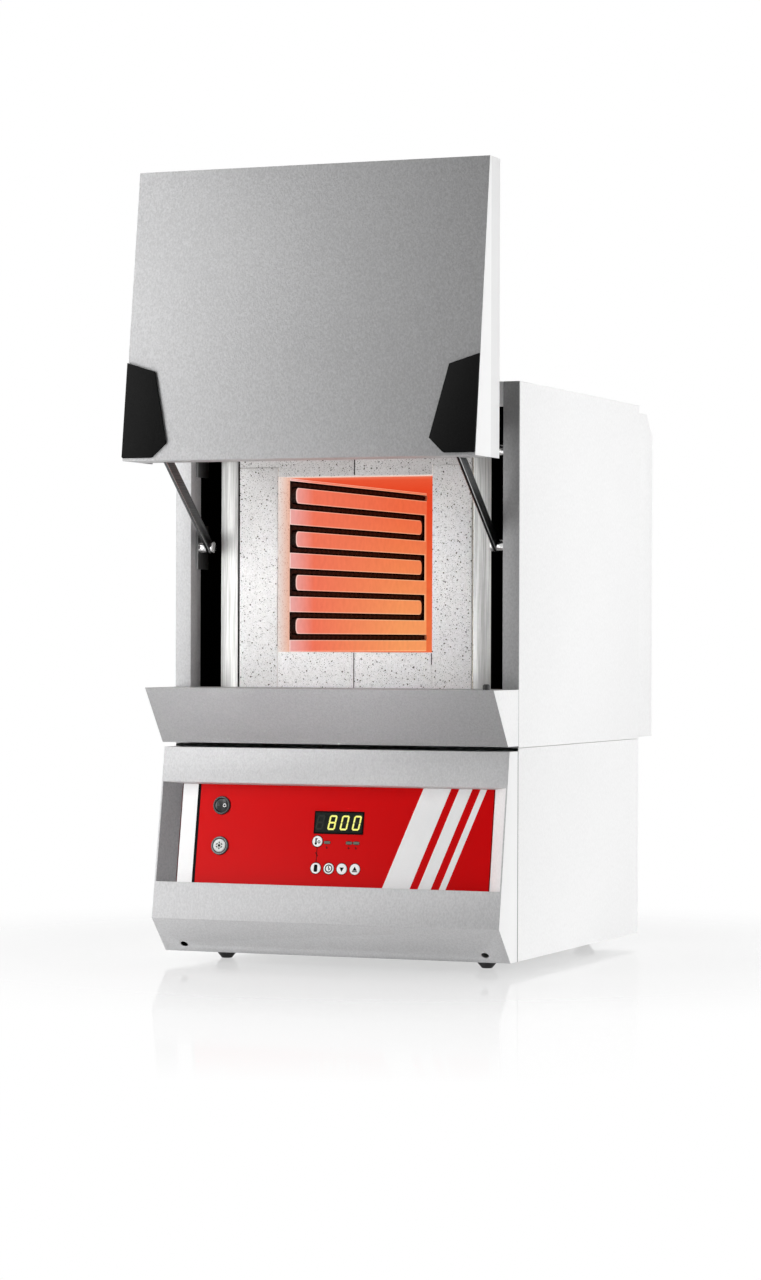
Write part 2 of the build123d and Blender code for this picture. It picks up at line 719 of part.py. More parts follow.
def build_fascia():
    top_y = -fascia_top_reach
    outline = [(top_y, fascia_top_z), (-fascia_fold_reach, fascia_fold_z), (-fascia_foot_reach, base_z0),
               (0, base_z0), (0, fascia_top_z)]
    fascia = prism_x(outline, -half_width, half_width)
    cavity = offset(fascia, amount=-front_sheet, kind=Kind.INTERSECTION)
    cavity += block(-half_width + front_sheet, half_width - front_sheet, -2 * front_sheet, front_sheet,
                    base_z0 + front_sheet, fascia_top_z - front_sheet)
    fascia -= cavity - recess_prism(front_sheet)
    fascia -= recess_prism(0)
    window = Box(2 * (panel_half - panel_window_margin), recess_height - 2 * panel_window_margin,
                 recess_depth)
    fascia -= panel_place(0, 0, -panel_thickness - front_sheet) * window
    fold_to_foot = Vector(0, fascia_fold_reach - fascia_foot_reach, base_z0 - fascia_fold_z).normalized()
    outward = Vector(0, fold_to_foot.Z, -fold_to_foot.Y)
    foot_edge = Vector(0, -fascia_foot_reach, base_z0)
    hole = Cylinder(fascia_hole_radius, 6 * front_sheet)
    for x in (-half_width + fascia_hole_inset_x, half_width - fascia_hole_inset_x):
        centre = foot_edge - fold_to_foot * fascia_hole_rise + Vector(x, 0, 0)
        fascia -= Location(Plane(origin=centre, z_dir=outward)) * hole
    keep("base_fascia", fascia)


def build_base():
    side = block(inner_half, half_width, seam, cabinet_depth, base_z0, base_z1)
    keep("base_side_right", side)
    keep("base_side_left", other_side(side))
    tray = block(-inner_half, inner_half, seam, cabinet_depth, base_z0, base_z0 + panel_sheet)
    keep("base_tray", tray)
    back = block(-inner_half, inner_half, cabinet_depth - panel_sheet, cabinet_depth,
                 base_z0 + panel_sheet, base_z1)
    gland_x = half_width - gland_inset_x
    gland_z = base_z0 + gland_rise
    cut_y0 = cabinet_depth - 2 * panel_sheet
    cut_y1 = cabinet_depth + panel_sheet
    back -= rod_y(gland_neck_radius, gland_x, cut_y0, cut_y1, gland_z)
    for cutter in slots(vent_slot_length, vent_slot_height, vent_slot_pitch, vent_rows // 2,
                        0, cut_y0, cut_y1, (base_z0 + base_z1) / 2):
        back -= cutter
    keep("base_back", back)

    nut_plane = Plane((gland_x, cabinet_depth, gland_z), x_dir=(1, 0, 0), z_dir=(0, 1, 0))
    nut = extrude(nut_plane * RegularPolygon(gland_radius, 6), amount=gland_length / 3)
    dome = rod_y(gland_neck_radius, gland_x, cabinet_depth - gland_length / 3,
                 cabinet_depth + gland_length, gland_z)
    dome = chamfer(dome.edges().group_by(Axis.Y)[-1], gland_radius / 4)
    bore = rod_y(gland_bore_radius, gland_x, cabinet_depth - gland_length,
                 cabinet_depth + 2 * gland_length, gland_z)
    keep("cable_gland", nut + dome - bore)

    sole = Polyline((0, 0), (foot_sole_radius, 0), (foot_radius, foot_cone_height),
                    (foot_radius, foot_height), (0, foot_height), close=True)
    foot = revolve(make_face(Plane.XZ * sole), axis=Axis.Z)
    x = half_width - foot_inset_x
    back_y = cabinet_depth - foot_inset_back
    keep("feet", *[Pos(side * x, y, 0) * foot for side in (-1, 1) for y in (foot_inset_front, back_y)])
    build_screws()


def build_screws():
    """Hexagon-head screws that hold the back panel and the base back."""
    head = extrude(Plane.XZ * RegularPolygon(screw_radius, 6), amount=screw_height / 2, both=True)
    heads = []
    x = inner_half - screw_inset
    for z in (base_z0 + screw_inset, base_z1 - screw_inset, upper_z0 + screw_inset, upper_z1 - screw_inset):
        for side in (-1, 1):
            heads.append(Pos(side * x, cabinet_depth + screw_height / 2, z) * head)
    keep("panel_screws", *heads)


# ------------------------------------------------------------------ control panel
def key_places():
    """Name and (x, v) place of each key."""
    row = ("key_page", "key_timer", "key_down", "key_up")
    places = {name: (key_row_x + i * key_pitch, key_row_v) for i, name in enumerate(row)}
    places["key_temperature"] = (key_row_x, upper_key_v)
    return places


def fitting_housing(x, v):
    """Round bezel with a blind barrel behind the panel."""
    up = (Align.CENTER, Align.CENTER, Align.MIN)
    down = (Align.CENTER, Align.CENTER, Align.MAX)
    rim = Cylinder(fitting_bezel_radius, fitting_bezel_proud, align=up)
    rim = chamfer(rim.edges().group_by(Axis.Z)[-1], fitting_bezel_proud / 3)
    barrel = Cylinder(fitting_barrel_radius, fitting_barrel_depth, align=down)
    well = Cylinder(fitting_well_radius, fitting_well_depth + fitting_bezel_proud, align=up)
    return panel_place(x, v) * (rim + barrel - Pos(0, 0, -fitting_well_depth) * well)


def build_rocker():
    """Round rocker on two trunnions, dished from its middle, tipped about its upright axis."""
    paddle = Pos(0, 0, rocker_proud - rocker_thickness / 2) * Cylinder(rocker_radius, rocker_thickness)
    for side in (-1, 1):
        lean = Pos(0, 0, rocker_proud / 2) * Rot(0, side * rocker_dish_angle, 0)
        beside = Pos(-side * rocker_radius, 0, rocker_thickness / 2)
        paddle -= lean * beside * Box(2 * rocker_radius, 3 * rocker_radius, rocker_thickness)
    trunnion_length = 2 * (fitting_well_radius - trunnion_end_play)
    paddle += Pos(0, 0, -rocker_axis_depth) * Rot(90, 0, 0) * Cylinder(trunnion_radius, trunnion_length)
    tipped = Pos(0, 0, -rocker_axis_depth) * Rot(0, rocker_angle, 0) * Pos(0, 0, rocker_axis_depth) * paddle
    keep("rocker", panel_place(rocker_x, rocker_v) * tipped)


def build_panel():
    panel = Pos(0, 0, -panel_thickness / 2) * Box(panel_width, recess_height - 2 * seam, panel_thickness)
    through = 4 * panel_thickness
    for x, v in ((rocker_x, rocker_v), (button_x, button_v)):
        panel -= Pos(x, v, 0) * Cylinder(fitting_barrel_radius + fitting_hole_clearance, through)
    for x, v in key_places().values():
        panel -= Pos(x, v, 0) * Cylinder(key_hole_radius, through)
    window = Box(display_width + 2 * display_clearance, display_height + 2 * display_clearance, through)
    panel -= Pos(display_x, display_v, 0) * window
    keep("control_panel", panel_place(0, 0) * panel)

    keep("rocker_bezel", fitting_housing(rocker_x, rocker_v))
    build_rocker()
    keep("button_bezel", fitting_housing(button_x, button_v))
    button = Pos(0, 0, button_proud - button_thickness / 2) * Cylinder(button_radius, button_thickness)
    button = chamfer(button.edges().group_by(Axis.Z)[-1], button_proud / 4)
    keep("button_cap", panel_place(button_x, button_v) * button)

    for name, (x, v) in key_places().items():
        disc = Pos(0, 0, key_proud - key_thickness / 2) * Cylinder(key_radius, key_thickness)
        keep(name, panel_place(x, v) * disc)

    glass_depth = display_proud + panel_thickness
    glass = Pos(0, 0, display_proud - glass_depth / 2) * Box(display_width, display_height, glass_depth)
    keep("display_window", panel_place(display_x, display_v) * glass)
    bar = Pos(0, 0, bar_proud / 2) * Box(bar_width, bar_height, bar_proud)
    keep("indicator_bars", *[panel_place(x, bar_v) * bar for x in bar_places])
    controller_height = recess_height - 2 * (panel_window_margin + controller_margin)
    controller_back = panel_thickness + controller_gap + controller_depth / 2
    controller = Pos(0, 0, -controller_back) * Box(controller_width, controller_height, controller_depth)
    keep("controller_housing", panel_place(display_x, (display_v + key_row_v) / 2) * controller)


# ------------------------------------------------------------------ build and write
build_upper_housing()
build_case()
build_front_bricks()
build_chamber()
build_coils()
build_linkage()
build_door()
build_door_switch()
build_fascia()
build_base()
build_panel()

boxes = [solid.bounding_box() for solids in pieces.values() for solid in solids]
middle_y = (min(box.min.Y for box in boxes) + max(box.max.Y for box in boxes)) / 2
to_origin = Pos(0, -middle_y, 0)

os.makedirs("parts", exist_ok=True)
for node, solids in pieces.items():
    moved = [to_origin * solid for solid in solids]
    shape = moved[0] if len(moved) == 1 else Compound(children=moved)
    export_step(shape, "parts/" + node + ".step")

print("nodes", len(pieces))
print("middle_y", round(middle_y, 3))
print("lower pivot y z", round(pivot_setback - middle_y, 3), pivot_height)
print("door pin y z", round(pin_open_y - middle_y, 3), round(pin_open_z, 3))

rocker_hinge = to_origin * panel_place(rocker_x, rocker_v, -rocker_axis_depth)
print("rocker hinge", rocker_hinge.position, "panel up", panel_up, "panel out", panel_out)
print("closed door y z", round(door_closed_y - middle_y, 3), round(door_closed_z, 3))
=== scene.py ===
# %% [markdown]
# # Dressing a bench muffle furnace
# The construction model already holds every piece of the furnace at its true size.
# This lesson loads it as a fixed frame and gives each piece the look of its real material.
# Where a real edge is folded, moulded or printed, a finer piece takes the place of the plain one.

# %% Load the frame
import json
import math

import bpy
from mathutils import Matrix, Vector


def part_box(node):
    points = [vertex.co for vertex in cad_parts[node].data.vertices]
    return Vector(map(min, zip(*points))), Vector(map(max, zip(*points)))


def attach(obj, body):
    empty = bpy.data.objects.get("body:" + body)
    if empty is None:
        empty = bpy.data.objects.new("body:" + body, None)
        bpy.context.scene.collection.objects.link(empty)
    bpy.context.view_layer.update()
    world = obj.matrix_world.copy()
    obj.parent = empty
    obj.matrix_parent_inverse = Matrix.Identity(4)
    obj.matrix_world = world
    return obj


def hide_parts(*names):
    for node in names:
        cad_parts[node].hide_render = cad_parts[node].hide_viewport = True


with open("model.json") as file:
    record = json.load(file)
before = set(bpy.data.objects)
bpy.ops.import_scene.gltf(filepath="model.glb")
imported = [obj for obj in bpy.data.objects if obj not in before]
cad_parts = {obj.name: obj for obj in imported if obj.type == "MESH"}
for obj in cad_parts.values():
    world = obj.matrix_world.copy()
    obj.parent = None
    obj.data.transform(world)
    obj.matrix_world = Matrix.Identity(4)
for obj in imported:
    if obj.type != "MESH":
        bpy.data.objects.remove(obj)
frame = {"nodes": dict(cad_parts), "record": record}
bpy.ops.object.select_all(action="DESELECT")
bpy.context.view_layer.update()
record = frame["record"]
body_of_node = {node: body for body, members in record["behaviour"]["bodies"].items() for node in members}
slot_of_node = {part["node"]: part["material_slot"] for part in record["subparts"]}
MM = 0.001

# %% [markdown]
# ## Camera
# The furnace is looked at from its right front, level with the chamber, through a long lens.
# A long lens keeps the upright edges nearly parallel, as in a product picture.

# %% Camera
camera_data = bpy.data.cameras.new("studio_camera")
camera = bpy.data.objects.new("studio_camera", camera_data)
bpy.context.scene.collection.objects.link(camera)
camera_data.lens = 99.356
camera_data.sensor_width = 36.0
camera_data.clip_end = 50.0
turn_right = Matrix.Rotation(math.radians(21.9346), 4, "Z")
look_level = Matrix.Rotation(math.radians(90.0), 4, "X")
camera_roll = Matrix.Rotation(math.radians(0.1928), 4, "Z")
camera.matrix_world = Matrix.Translation((1.58497, -4.03490, 0.38101)) @ turn_right @ look_level @ camera_roll
bpy.context.scene.camera = camera
bpy.context.scene.view_settings.view_transform = "Standard"
print("camera", tuple(round(v, 3) for v in camera.location))

# %% [markdown]
# ## Materials
# A material is a small tree of nodes: patterns at one end, a shader at the other.
# Colours are written as sRGB hex values, which one function turns to the linear values that Blender mixes.
# Another small function adds a node with its settings and links, so that each material stays short.


# %% Material helpers
def linear(hex_code):
    """An sRGB hex colour as linear red, green, blue and alpha."""
    parts = [int(hex_code[i:i + 2], 16) / 255 for i in (1, 3, 5)]
    return [v / 12.92 if v <= 0.04045 else ((v + 0.055) / 1.055) ** 2.4 for v in parts] + [1.0]


def add(tree, kind, links=None, **settings):
    """Adds a node; links maps its inputs to values or to other nodes' outputs."""
    node = tree.nodes.new(kind)
    for name, value in settings.items():
        setattr(node, name, value)
    for name, value in (links or {}).items():
        socket = node.inputs[name]
        if isinstance(value, bpy.types.NodeSocket):
            tree.links.new(value, socket)
        else:
            socket.default_value = value
    return node


def ramp(tree, source, *stops):
    """A colour ramp from (position, hex colour) stops."""
    node = add(tree, "ShaderNodeValToRGB", {"Fac": source})
    while len(node.color_ramp.elements) < len(stops):
        node.color_ramp.elements.new(0.5)
    for element, (position, colour) in zip(node.color_ramp.elements, stops):
        element.position = position
        element.color = linear(colour)
    return node.outputs["Color"]


def start_material(name, **shader_values):
    """A new material with its shader's plain values set; returns it with tree, shader and place."""
    material = bpy.data.materials.new(name)
    material.use_nodes = True
    tree = material.node_tree
    shader = tree.nodes["Principled BSDF"]
    for socket, value in shader_values.items():
        shader.inputs[socket.replace("_", " ")].default_value = value
    place = add(tree, "ShaderNodeTexCoord").outputs["Object"]
    return material, tree, shader, place


def per_metre(spacing_mm):
    """Noise scale that gives features about this far apart on an object measured in metres."""
    return 1000.0 / spacing_mm


print("white is", linear("#FFFFFF"))

# %% [markdown]
# ## Textured powder coat
# Powder coat is baked polyester powder. The coarse grade used on housings dries with a fine leathery skin,
# so a highlight breaks up into grain. A noise about 2 mm across drives the bump, and it mottles the colour
# a little too. The white coat on the sides is finer and smoother.


# %% Powder coats
def powder_coat(name, dark, light, grain_mm, relief, roughness):
    """Baked polyester powder with a leathery grain."""
    material, tree, shader, place = start_material(name, Roughness=roughness, IOR=1.5)
    drawn = add(tree, "ShaderNodeMapping", {"Vector": place, "Scale": (1.0, 1.0, 0.6)})
    grain = add(tree, "ShaderNodeTexNoise", {"Vector": drawn.outputs["Vector"], "Scale": per_metre(grain_mm),
                                             "Detail": 2.0, "Roughness": 0.5, "Distortion": 0.6})
    cloud = add(tree, "ShaderNodeTexNoise", {"Vector": place, "Scale": per_metre(140.0), "Detail": 2.0})
    mixed = add(tree, "ShaderNodeMix", {"Factor": 0.16, 2: grain.outputs["Fac"], 3: cloud.outputs["Fac"]})
    shade = ramp(tree, mixed.outputs[0], (0.38, dark), (0.62, light))
    tree.links.new(shade, shader.inputs["Base Color"])
    bump = add(tree, "ShaderNodeBump", {"Height": grain.outputs["Fac"], "Strength": 1.0,
                                        "Distance": relief * MM})
    tree.links.new(bump.outputs["Normal"], shader.inputs["Normal"])
    return material


# the door: a silver grey with a dry grain that spreads every highlight
grey_powder = powder_coat("silver_grey_polyester_powder_coat", "#B2B2B3", "#C4C4C5", 1.9, 0.38, 0.50)
# the base's front and the left column: the same coat, painted a shade paler where more light falls
painted_light_powder = powder_coat("painted_light_silver_grey_powder_coat", "#C6C6C7", "#D3D3D4", 1.8, 0.22, 0.50)
# the shelf under the door and the right column: the same coat, painted a shade deeper where less light falls
painted_shade_powder = powder_coat("painted_shade_silver_grey_powder_coat", "#A0A0A1", "#ADADAE", 1.8, 0.30, 0.50)
# the sides and ends: a soft white with hardly any grain
white_powder = powder_coat("white_polyester_powder_coat", "#F3F3F3", "#FAFAFA", 2.2, 0.10, 0.42)
print("powder coats", grey_powder.name, white_powder.name)

# %% [markdown]
# ## Bare and plated metal
# Rolled stainless sheet has a faint grain along the rolling direction. Zinc plate is duller and mottled.
# Both are metals, so their colour lives in the reflection and the default index of refraction stays.


# %% Metals
def rolled_metal(name, dark, light, roughness, along, grain_mm, relief):
    """Sheet metal with its rolling grain stretched along one axis."""
    material, tree, shader, place = start_material(name, Metallic=1.0)
    stretch = [1.0, 1.0, 1.0]
    stretch["xyz".index(along)] = 0.02
    mapped = add(tree, "ShaderNodeMapping", {"Vector": place, "Scale": stretch})
    grain = add(tree, "ShaderNodeTexNoise", {"Vector": mapped.outputs["Vector"], "Scale": per_metre(grain_mm),
                                             "Detail": 4.0, "Roughness": 0.6})
    smear = add(tree, "ShaderNodeTexNoise", {"Vector": place, "Scale": per_metre(60.0), "Detail": 3.0})
    shade = ramp(tree, grain.outputs["Fac"], (0.35, dark), (0.65, light))
    tree.links.new(shade, shader.inputs["Base Color"])
    rough = add(tree, "ShaderNodeMapRange", {"Value": smear.outputs["Fac"], "To Min": roughness - 0.06,
                                             "To Max": roughness + 0.08})
    tree.links.new(rough.outputs["Result"], shader.inputs["Roughness"])
    bump = add(tree, "ShaderNodeBump", {"Height": grain.outputs["Fac"], "Distance": relief * MM})
    tree.links.new(bump.outputs["Normal"], shader.inputs["Normal"])
    return material


# inner case, tray and pans: a grey satin sheet
case_steel = rolled_metal("galvanised_sheet", "#8C8C8B", "#B4B4B2", 0.50, "z", 1.6, 0.02)
# left bars: a dark metal with a narrow sheen along its length
zinc_plate = rolled_metal("zinc_plated_bar", "#4A4B4C", "#666768", 0.30, "y", 1.2, 0.02)
# right bars: the same bars painted nearly black as shade, with a thin bright line only at the edges
painted_shade_bar = rolled_metal("painted_shade_bar_metal", "#161718", "#2C2D2E", 0.34, "y", 1.2, 0.02)
# brackets and button cap: a pale, blunt reflection
dull_zinc = rolled_metal("dull_zinc_plate", "#8A8A8A", "#A6A6A6", 0.48, "z", 1.4, 0.02)
# the button's bezel: a dark mirror ring
dark_chrome = rolled_metal("dark_chromed_bezel", "#3C3E3E", "#575959", 0.26, "z", 0.8, 0.004)
# broken edges of the bars: a painted highlight, the line that catches the light
painted_edge_highlight = rolled_metal("painted_highlight_steel", "#B8B8B8", "#D8D8D8", 0.22, "x", 0.6, 0.005)
# lead clamps: a warm yellow glint
brass = rolled_metal("turned_brass", "#A8843C", "#CBA65A", 0.30, "y", 0.6, 0.01)
# studs and caps: small sharp highlights
chrome = rolled_metal("chromed_zinc_casting", "#BDBDBD", "#DADADA", 0.16, "z", 0.8, 0.004)
print("metals ready")

# %% [markdown]
# ## Firebrick
# Insulating firebrick is fired clay foamed with burnt-out filler, so it is chalk white and full of open
# pores. Two sizes of round pore are drawn, up to 0.7 mm across all over and up to 1.4 mm here and there,
# and they sink the surface.
# The faces nearest the chamber catch its orange light, which is painted on them as a glow.


# %% Firebrick
def pores(tree, place, spacing_mm, threshold, softness):
    """Dark spots where a noise drops under the threshold, as 0 in a pore and 1 outside."""
    noise = add(tree, "ShaderNodeTexNoise", {"Vector": place, "Scale": per_metre(spacing_mm), "Detail": 2.0,
                                             "Roughness": 0.5})
    edge = add(tree, "ShaderNodeMapRange", {"Value": noise.outputs["Fac"], "From Min": threshold,
                                            "From Max": threshold + softness})
    return edge.outputs["Result"]


WOBBLE = 0.25       # how ragged a round pore's rim is, as a share of the spacing
RIM_SOFTNESS = 0.06  # how soft it is


def round_pores(tree, place, spacing_mm, reach):
    """Round dark spots about this far apart, 0 in a pore and 1 outside; reach is radius over spacing."""
    cells = add(tree, "ShaderNodeTexVoronoi", {"Vector": place, "Scale": per_metre(spacing_mm)})
    wobble = add(tree, "ShaderNodeTexNoise", {"Vector": place, "Scale": per_metre(spacing_mm * 0.35)})
    ragged = add(tree, "ShaderNodeMath", {0: wobble.outputs["Fac"], 1: WOBBLE, 2: cells.outputs["Distance"]},
                 operation="MULTIPLY_ADD")
    edge = add(tree, "ShaderNodeMapRange", {"Value": ragged.outputs["Value"], "From Min": reach + WOBBLE / 2,
                                            "From Max": reach + WOBBLE / 2 + RIM_SOFTNESS})
    return edge.outputs["Result"]


def porous_ceramic(name, dark, light, pore_colour, pore_mm, reach, roughness=0.95, grit_mm=1.2):
    """Fired or pressed ceramic with open pores of two sizes."""
    material, tree, shader, place = start_material(name, Roughness=roughness)
    fine = round_pores(tree, place, pore_mm, reach)
    coarse = round_pores(tree, place, pore_mm * 2.6, reach * 0.8)
    solid = add(tree, "ShaderNodeMath", {0: fine, 1: coarse}, operation="MULTIPLY")
    cloud = add(tree, "ShaderNodeTexNoise", {"Vector": place, "Scale": per_metre(grit_mm), "Detail": 2.0,
                                             "Roughness": 0.8})
    shade = ramp(tree, cloud.outputs["Fac"], (0.35, dark), (0.65, light))
    mixed = add(tree, "ShaderNodeMix", {"Factor": solid.outputs["Value"], "A": linear(pore_colour),
                                        "B": shade}, data_type="RGBA")
    tree.links.new(mixed.outputs["Result"], shader.inputs["Base Color"])
    bump = add(tree, "ShaderNodeBump", {"Height": solid.outputs["Value"], "Distance": 0.35 * MM})
    tree.links.new(bump.outputs["Normal"], shader.inputs["Normal"])
    return material


# the mouth's bricks: chalk white with fine dark pores
firebrick = porous_ceramic("insulating_firebrick", "#E4E3E1", "#FFFFFF", "#3C3834", 2.1, 0.155)
# backing boards: a creamy, closer surface
board = porous_ceramic("calcium_silicate_board", "#D9D2C6", "#E8E2D8", "#A89F90", 1.6, 0.20)
# lead bushings: a smooth, unglazed white
white_ceramic = porous_ceramic("unglazed_steatite", "#E6E2D9", "#F2EFE8", "#CFC8BA", 1.0, 0.15, 0.6)
print("ceramics ready")

# %% [markdown]
# ## Glowing chamber
# At working heat the lining shines by itself, so its colour is an emission and not a paint.
# Emission of 1 shows as the colour is written. It runs from a paler pink near the cool mouth
# to orange at the back, and is yellower low down, where the hearth keeps its heat.


# %% Glowing lining
def glowing_lining(name, mouth_hex, middle_hex, low_hex, back_hex, level):
    """Firebrick at about 800 degrees, shining by itself."""
    material, tree, shader, place = start_material(name, Roughness=1.0)
    shader.inputs["Specular IOR Level"].default_value = 0.1
    shader.inputs["Base Color"].default_value = linear("#2A0F0A")
    split = add(tree, "ShaderNodeSeparateXYZ", {"Vector": place})
    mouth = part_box("element_wall_left")[0].y
    depth = add(tree, "ShaderNodeMapRange", {"Value": split.outputs["Y"], "From Min": mouth,
                                             "From Max": mouth + 0.40})
    low = add(tree, "ShaderNodeMapRange", {"Value": split.outputs["Z"], "From Min": 0.55, "From Max": 0.40})
    upper_hue = ramp(tree, depth.outputs["Result"], (0.0, mouth_hex), (0.18, middle_hex), (0.9, back_hex))
    lower_hue = ramp(tree, depth.outputs["Result"], (0.0, mouth_hex), (0.18, middle_hex), (0.9, low_hex))
    hue = add(tree, "ShaderNodeMix", {"Factor": low.outputs["Result"], "A": upper_hue, "B": lower_hue},
              data_type="RGBA")
    mottle = add(tree, "ShaderNodeTexNoise", {"Vector": place, "Scale": per_metre(9.0), "Detail": 5.0})
    gain = add(tree, "ShaderNodeMapRange", {"Value": mottle.outputs["Fac"], "From Min": 0.3, "From Max": 0.7,
                                            "To Min": level * 0.94, "To Max": level * 1.04})
    tree.links.new(hue.outputs["Result"], shader.inputs["Emission Color"])
    tree.links.new(gain.outputs["Result"], shader.inputs["Emission Strength"])
    bump = add(tree, "ShaderNodeBump", {"Height": mottle.outputs["Fac"], "Distance": 0.3 * MM})
    tree.links.new(bump.outputs["Normal"], shader.inputs["Normal"])
    return material


# fingers of the grooved walls: pink at the mouth, orange behind
hot_brick = glowing_lining("firebrick_at_working_heat", "#E9AAA6", "#EE755A", "#F39A60", "#EB6A44", 1.0)
# the fingers' rounded edges: a paler rim, a painted highlight that separates them
hot_edge_painted_highlight = glowing_lining("glowing_brick_edges_painted_highlight", "#F6D2CC", "#F7A48E", "#F9B988", "#F29A76", 1.0)
# roof, floor and back wall: a deeper red as painted shade, so the fingers stand out
hot_vault_painted_shade = glowing_lining("glowing_vault_and_back_painted_shade", "#EC7455", "#E85533", "#EA7040", "#E64826", 0.97)


def brick_with_painted_glow(name, front_hex, back_hex):
    """Collar brick beside the mouth, with the chamber's light painted on as a glow, pale at its front edge
    and peach where it meets the lining.
    """
    material, tree, shader, place = start_material(name, Roughness=1.0)
    split = add(tree, "ShaderNodeSeparateXYZ", {"Vector": place})
    front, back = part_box("side_bricks")
    depth = add(tree, "ShaderNodeMapRange", {"Value": split.outputs["Y"], "From Min": front.y,
                                             "From Max": back.y})
    hue = ramp(tree, depth.outputs["Result"], (0.1, front_hex), (0.9, back_hex))
    open_pores = pores(tree, place, 1.6, 0.33, 0.05)
    mixed = add(tree, "ShaderNodeMix", {"Factor": open_pores, "A": linear("#B07A66"), "B": hue},
                data_type="RGBA")
    shader.inputs["Base Color"].default_value = linear("#5A5250")
    tree.links.new(mixed.outputs["Result"], shader.inputs["Emission Color"])
    shader.inputs["Emission Strength"].default_value = 0.86
    bump = add(tree, "ShaderNodeBump", {"Height": open_pores, "Distance": 0.35 * MM})
    tree.links.new(bump.outputs["Normal"], shader.inputs["Normal"])
    return material


# faces that look into the mouth: the chamber's light painted on, a peach glow that fades to the front
jamb_painted_glow = brick_with_painted_glow("collar_brick_painted_glow", "#EFE6E0", "#F0BFA8")
print("lining ready")

# %% [markdown]
# ## Plastics, film, glass and rubber
# The grips are moulded ABS with a spark-eroded grain. The panel is a polyester film printed from behind,
# so it is glossy and even. The display is a smoked acrylic window, and the feet are natural rubber.


# %% Plastics
def moulded(name, dark, light, grain_mm, relief, roughness, gloss=0.5):
    """Moulded or filmed plastic, with the grain of its tool."""
    material, tree, shader, place = start_material(name, Roughness=roughness, IOR=1.5)
    shader.inputs["Specular IOR Level"].default_value = gloss
    grain = add(tree, "ShaderNodeTexNoise", {"Vector": place, "Scale": per_metre(grain_mm), "Detail": 3.0})
    shade = ramp(tree, grain.outputs["Fac"], (0.35, dark), (0.65, light))
    tree.links.new(shade, shader.inputs["Base Color"])
    bump = add(tree, "ShaderNodeBump", {"Height": grain.outputs["Fac"], "Distance": relief * MM})
    tree.links.new(bump.outputs["Normal"], shader.inputs["Normal"])
    return material


# corner grips: deep matt black
grip_plastic = moulded("grained_abs_grip", "#020202", "#0C0C0C", 1.3, 0.30, 0.60, gloss=0.08)
# panel: an even red with almost no sheen
red_film = moulded("red_printed_polyester_film", "#D60408", "#D9060A", 0.7, 0.002, 0.30, gloss=0.05)
# the panel's white bars and band: clean and flat
white_film = moulded("white_printed_film", "#FAFAFA", "#FFFFFF", 0.7, 0.002, 0.30, gloss=0.3)
# fine black lines and signs
black_film = moulded("black_printed_film", "#020202", "#050505", 0.7, 0.002, 0.30, gloss=0.03)
# display: near black, with a soft green cast
display_glass = moulded("smoked_acrylic_window", "#1A1F1C", "#232826", 4.0, 0.001, 0.20, gloss=0.05)
# membrane keys: bright white discs
key_film = moulded("white_membrane_key", "#FBFBFB", "#FFFFFF", 0.8, 0.01, 0.40)
# unlit indicator bars: a dim olive grey
indicator_film = moulded("unlit_indicator_window", "#5E6058", "#747668", 1.0, 0.003, 0.30, gloss=0.2)
# rocker, its bezel and small housings: black with a satin edge
switch_plastic = moulded("black_polyamide_switch", "#0C0C0D", "#171718", 0.6, 0.01, 0.32, gloss=0.4)
# push button's face: a cool pale grey
button_plastic = moulded("pale_push_button", "#C9CBC8", "#DADBD8", 0.6, 0.01, 0.35)
# controller housing: a plain charcoal
housing_plastic = moulded("black_polycarbonate_housing", "#151516", "#232324", 1.0, 0.02, 0.45)
# feet: dark, without a highlight
foot_rubber = moulded("natural_rubber_foot", "#1A1A1A", "#2A2A2A", 0.9, 0.05, 0.70)
print("plastics ready")

# %% [markdown]
# ### Resistance wire
# The heating coils are close-wound wire, so from a step away they read as a ribbed rod. A wave along the run
# gives the ribs, and the oxide that forms at working heat makes them nearly black.


# %% Resistance wire
WAVE_RADIANS = 20.0  # how far Blender's wave turns over one unit of its scale


def oxidised_coil(name, radian_mm):
    """Close-wound resistance wire, dark with oxide; its ribs' wave turns one radian over radian_mm."""
    material, tree, shader, place = start_material(name, Roughness=0.75, Metallic=0.3)
    wave = add(tree, "ShaderNodeTexWave", {"Vector": place, "Scale": per_metre(radian_mm) / WAVE_RADIANS,
                                           "Distortion": 0.4}, wave_type="BANDS", bands_direction="Y")
    shade = ramp(tree, wave.outputs["Fac"], (0.2, "#050404"), (0.9, "#1C1310"))
    tree.links.new(shade, shader.inputs["Base Color"])
    bump = add(tree, "ShaderNodeBump", {"Height": wave.outputs["Fac"], "Distance": 0.8 * MM})
    tree.links.new(bump.outputs["Normal"], shader.inputs["Normal"])
    return material


# heating coils: dark ribs that set off the glowing fingers
coil_wire = oxidised_coil("iron_chromium_resistance_wire", 2.4)
print("wire", coil_wire.name)

# %% [markdown]
# ## A material for every node
# Each node names the slot that it is made of, and each slot gets one material here. Single faces and finer
# pieces get theirs further down.


# %% Give every node its material
finish_of_slot = {
    "white_powder_coat": white_powder, "grey_powder_coat": grey_powder, "case_steel": case_steel,
    "zinc_steel": zinc_plate, "firebrick": firebrick, "hot_brick": hot_brick, "backing_board": board,
    "coil_wire": coil_wire, "white_ceramic": white_ceramic, "terminal_brass": brass,
    "grip_plastic": grip_plastic, "panel_red": red_film, "display_glass": display_glass,
    "key_white": key_film, "indicator_grey": indicator_film, "switch_black": switch_plastic,
    "button_chrome": chrome, "button_white": button_plastic, "housing_plastic": housing_plastic,
    "foot_rubber": foot_rubber,
}


def finish_with(piece, material):
    """Makes this the piece's only material."""
    piece.data.materials.clear()
    piece.data.materials.append(material)


for node, piece in frame["nodes"].items():
    finish_with(piece, finish_of_slot[slot_of_node[node]])
print("slots", len(finish_of_slot))

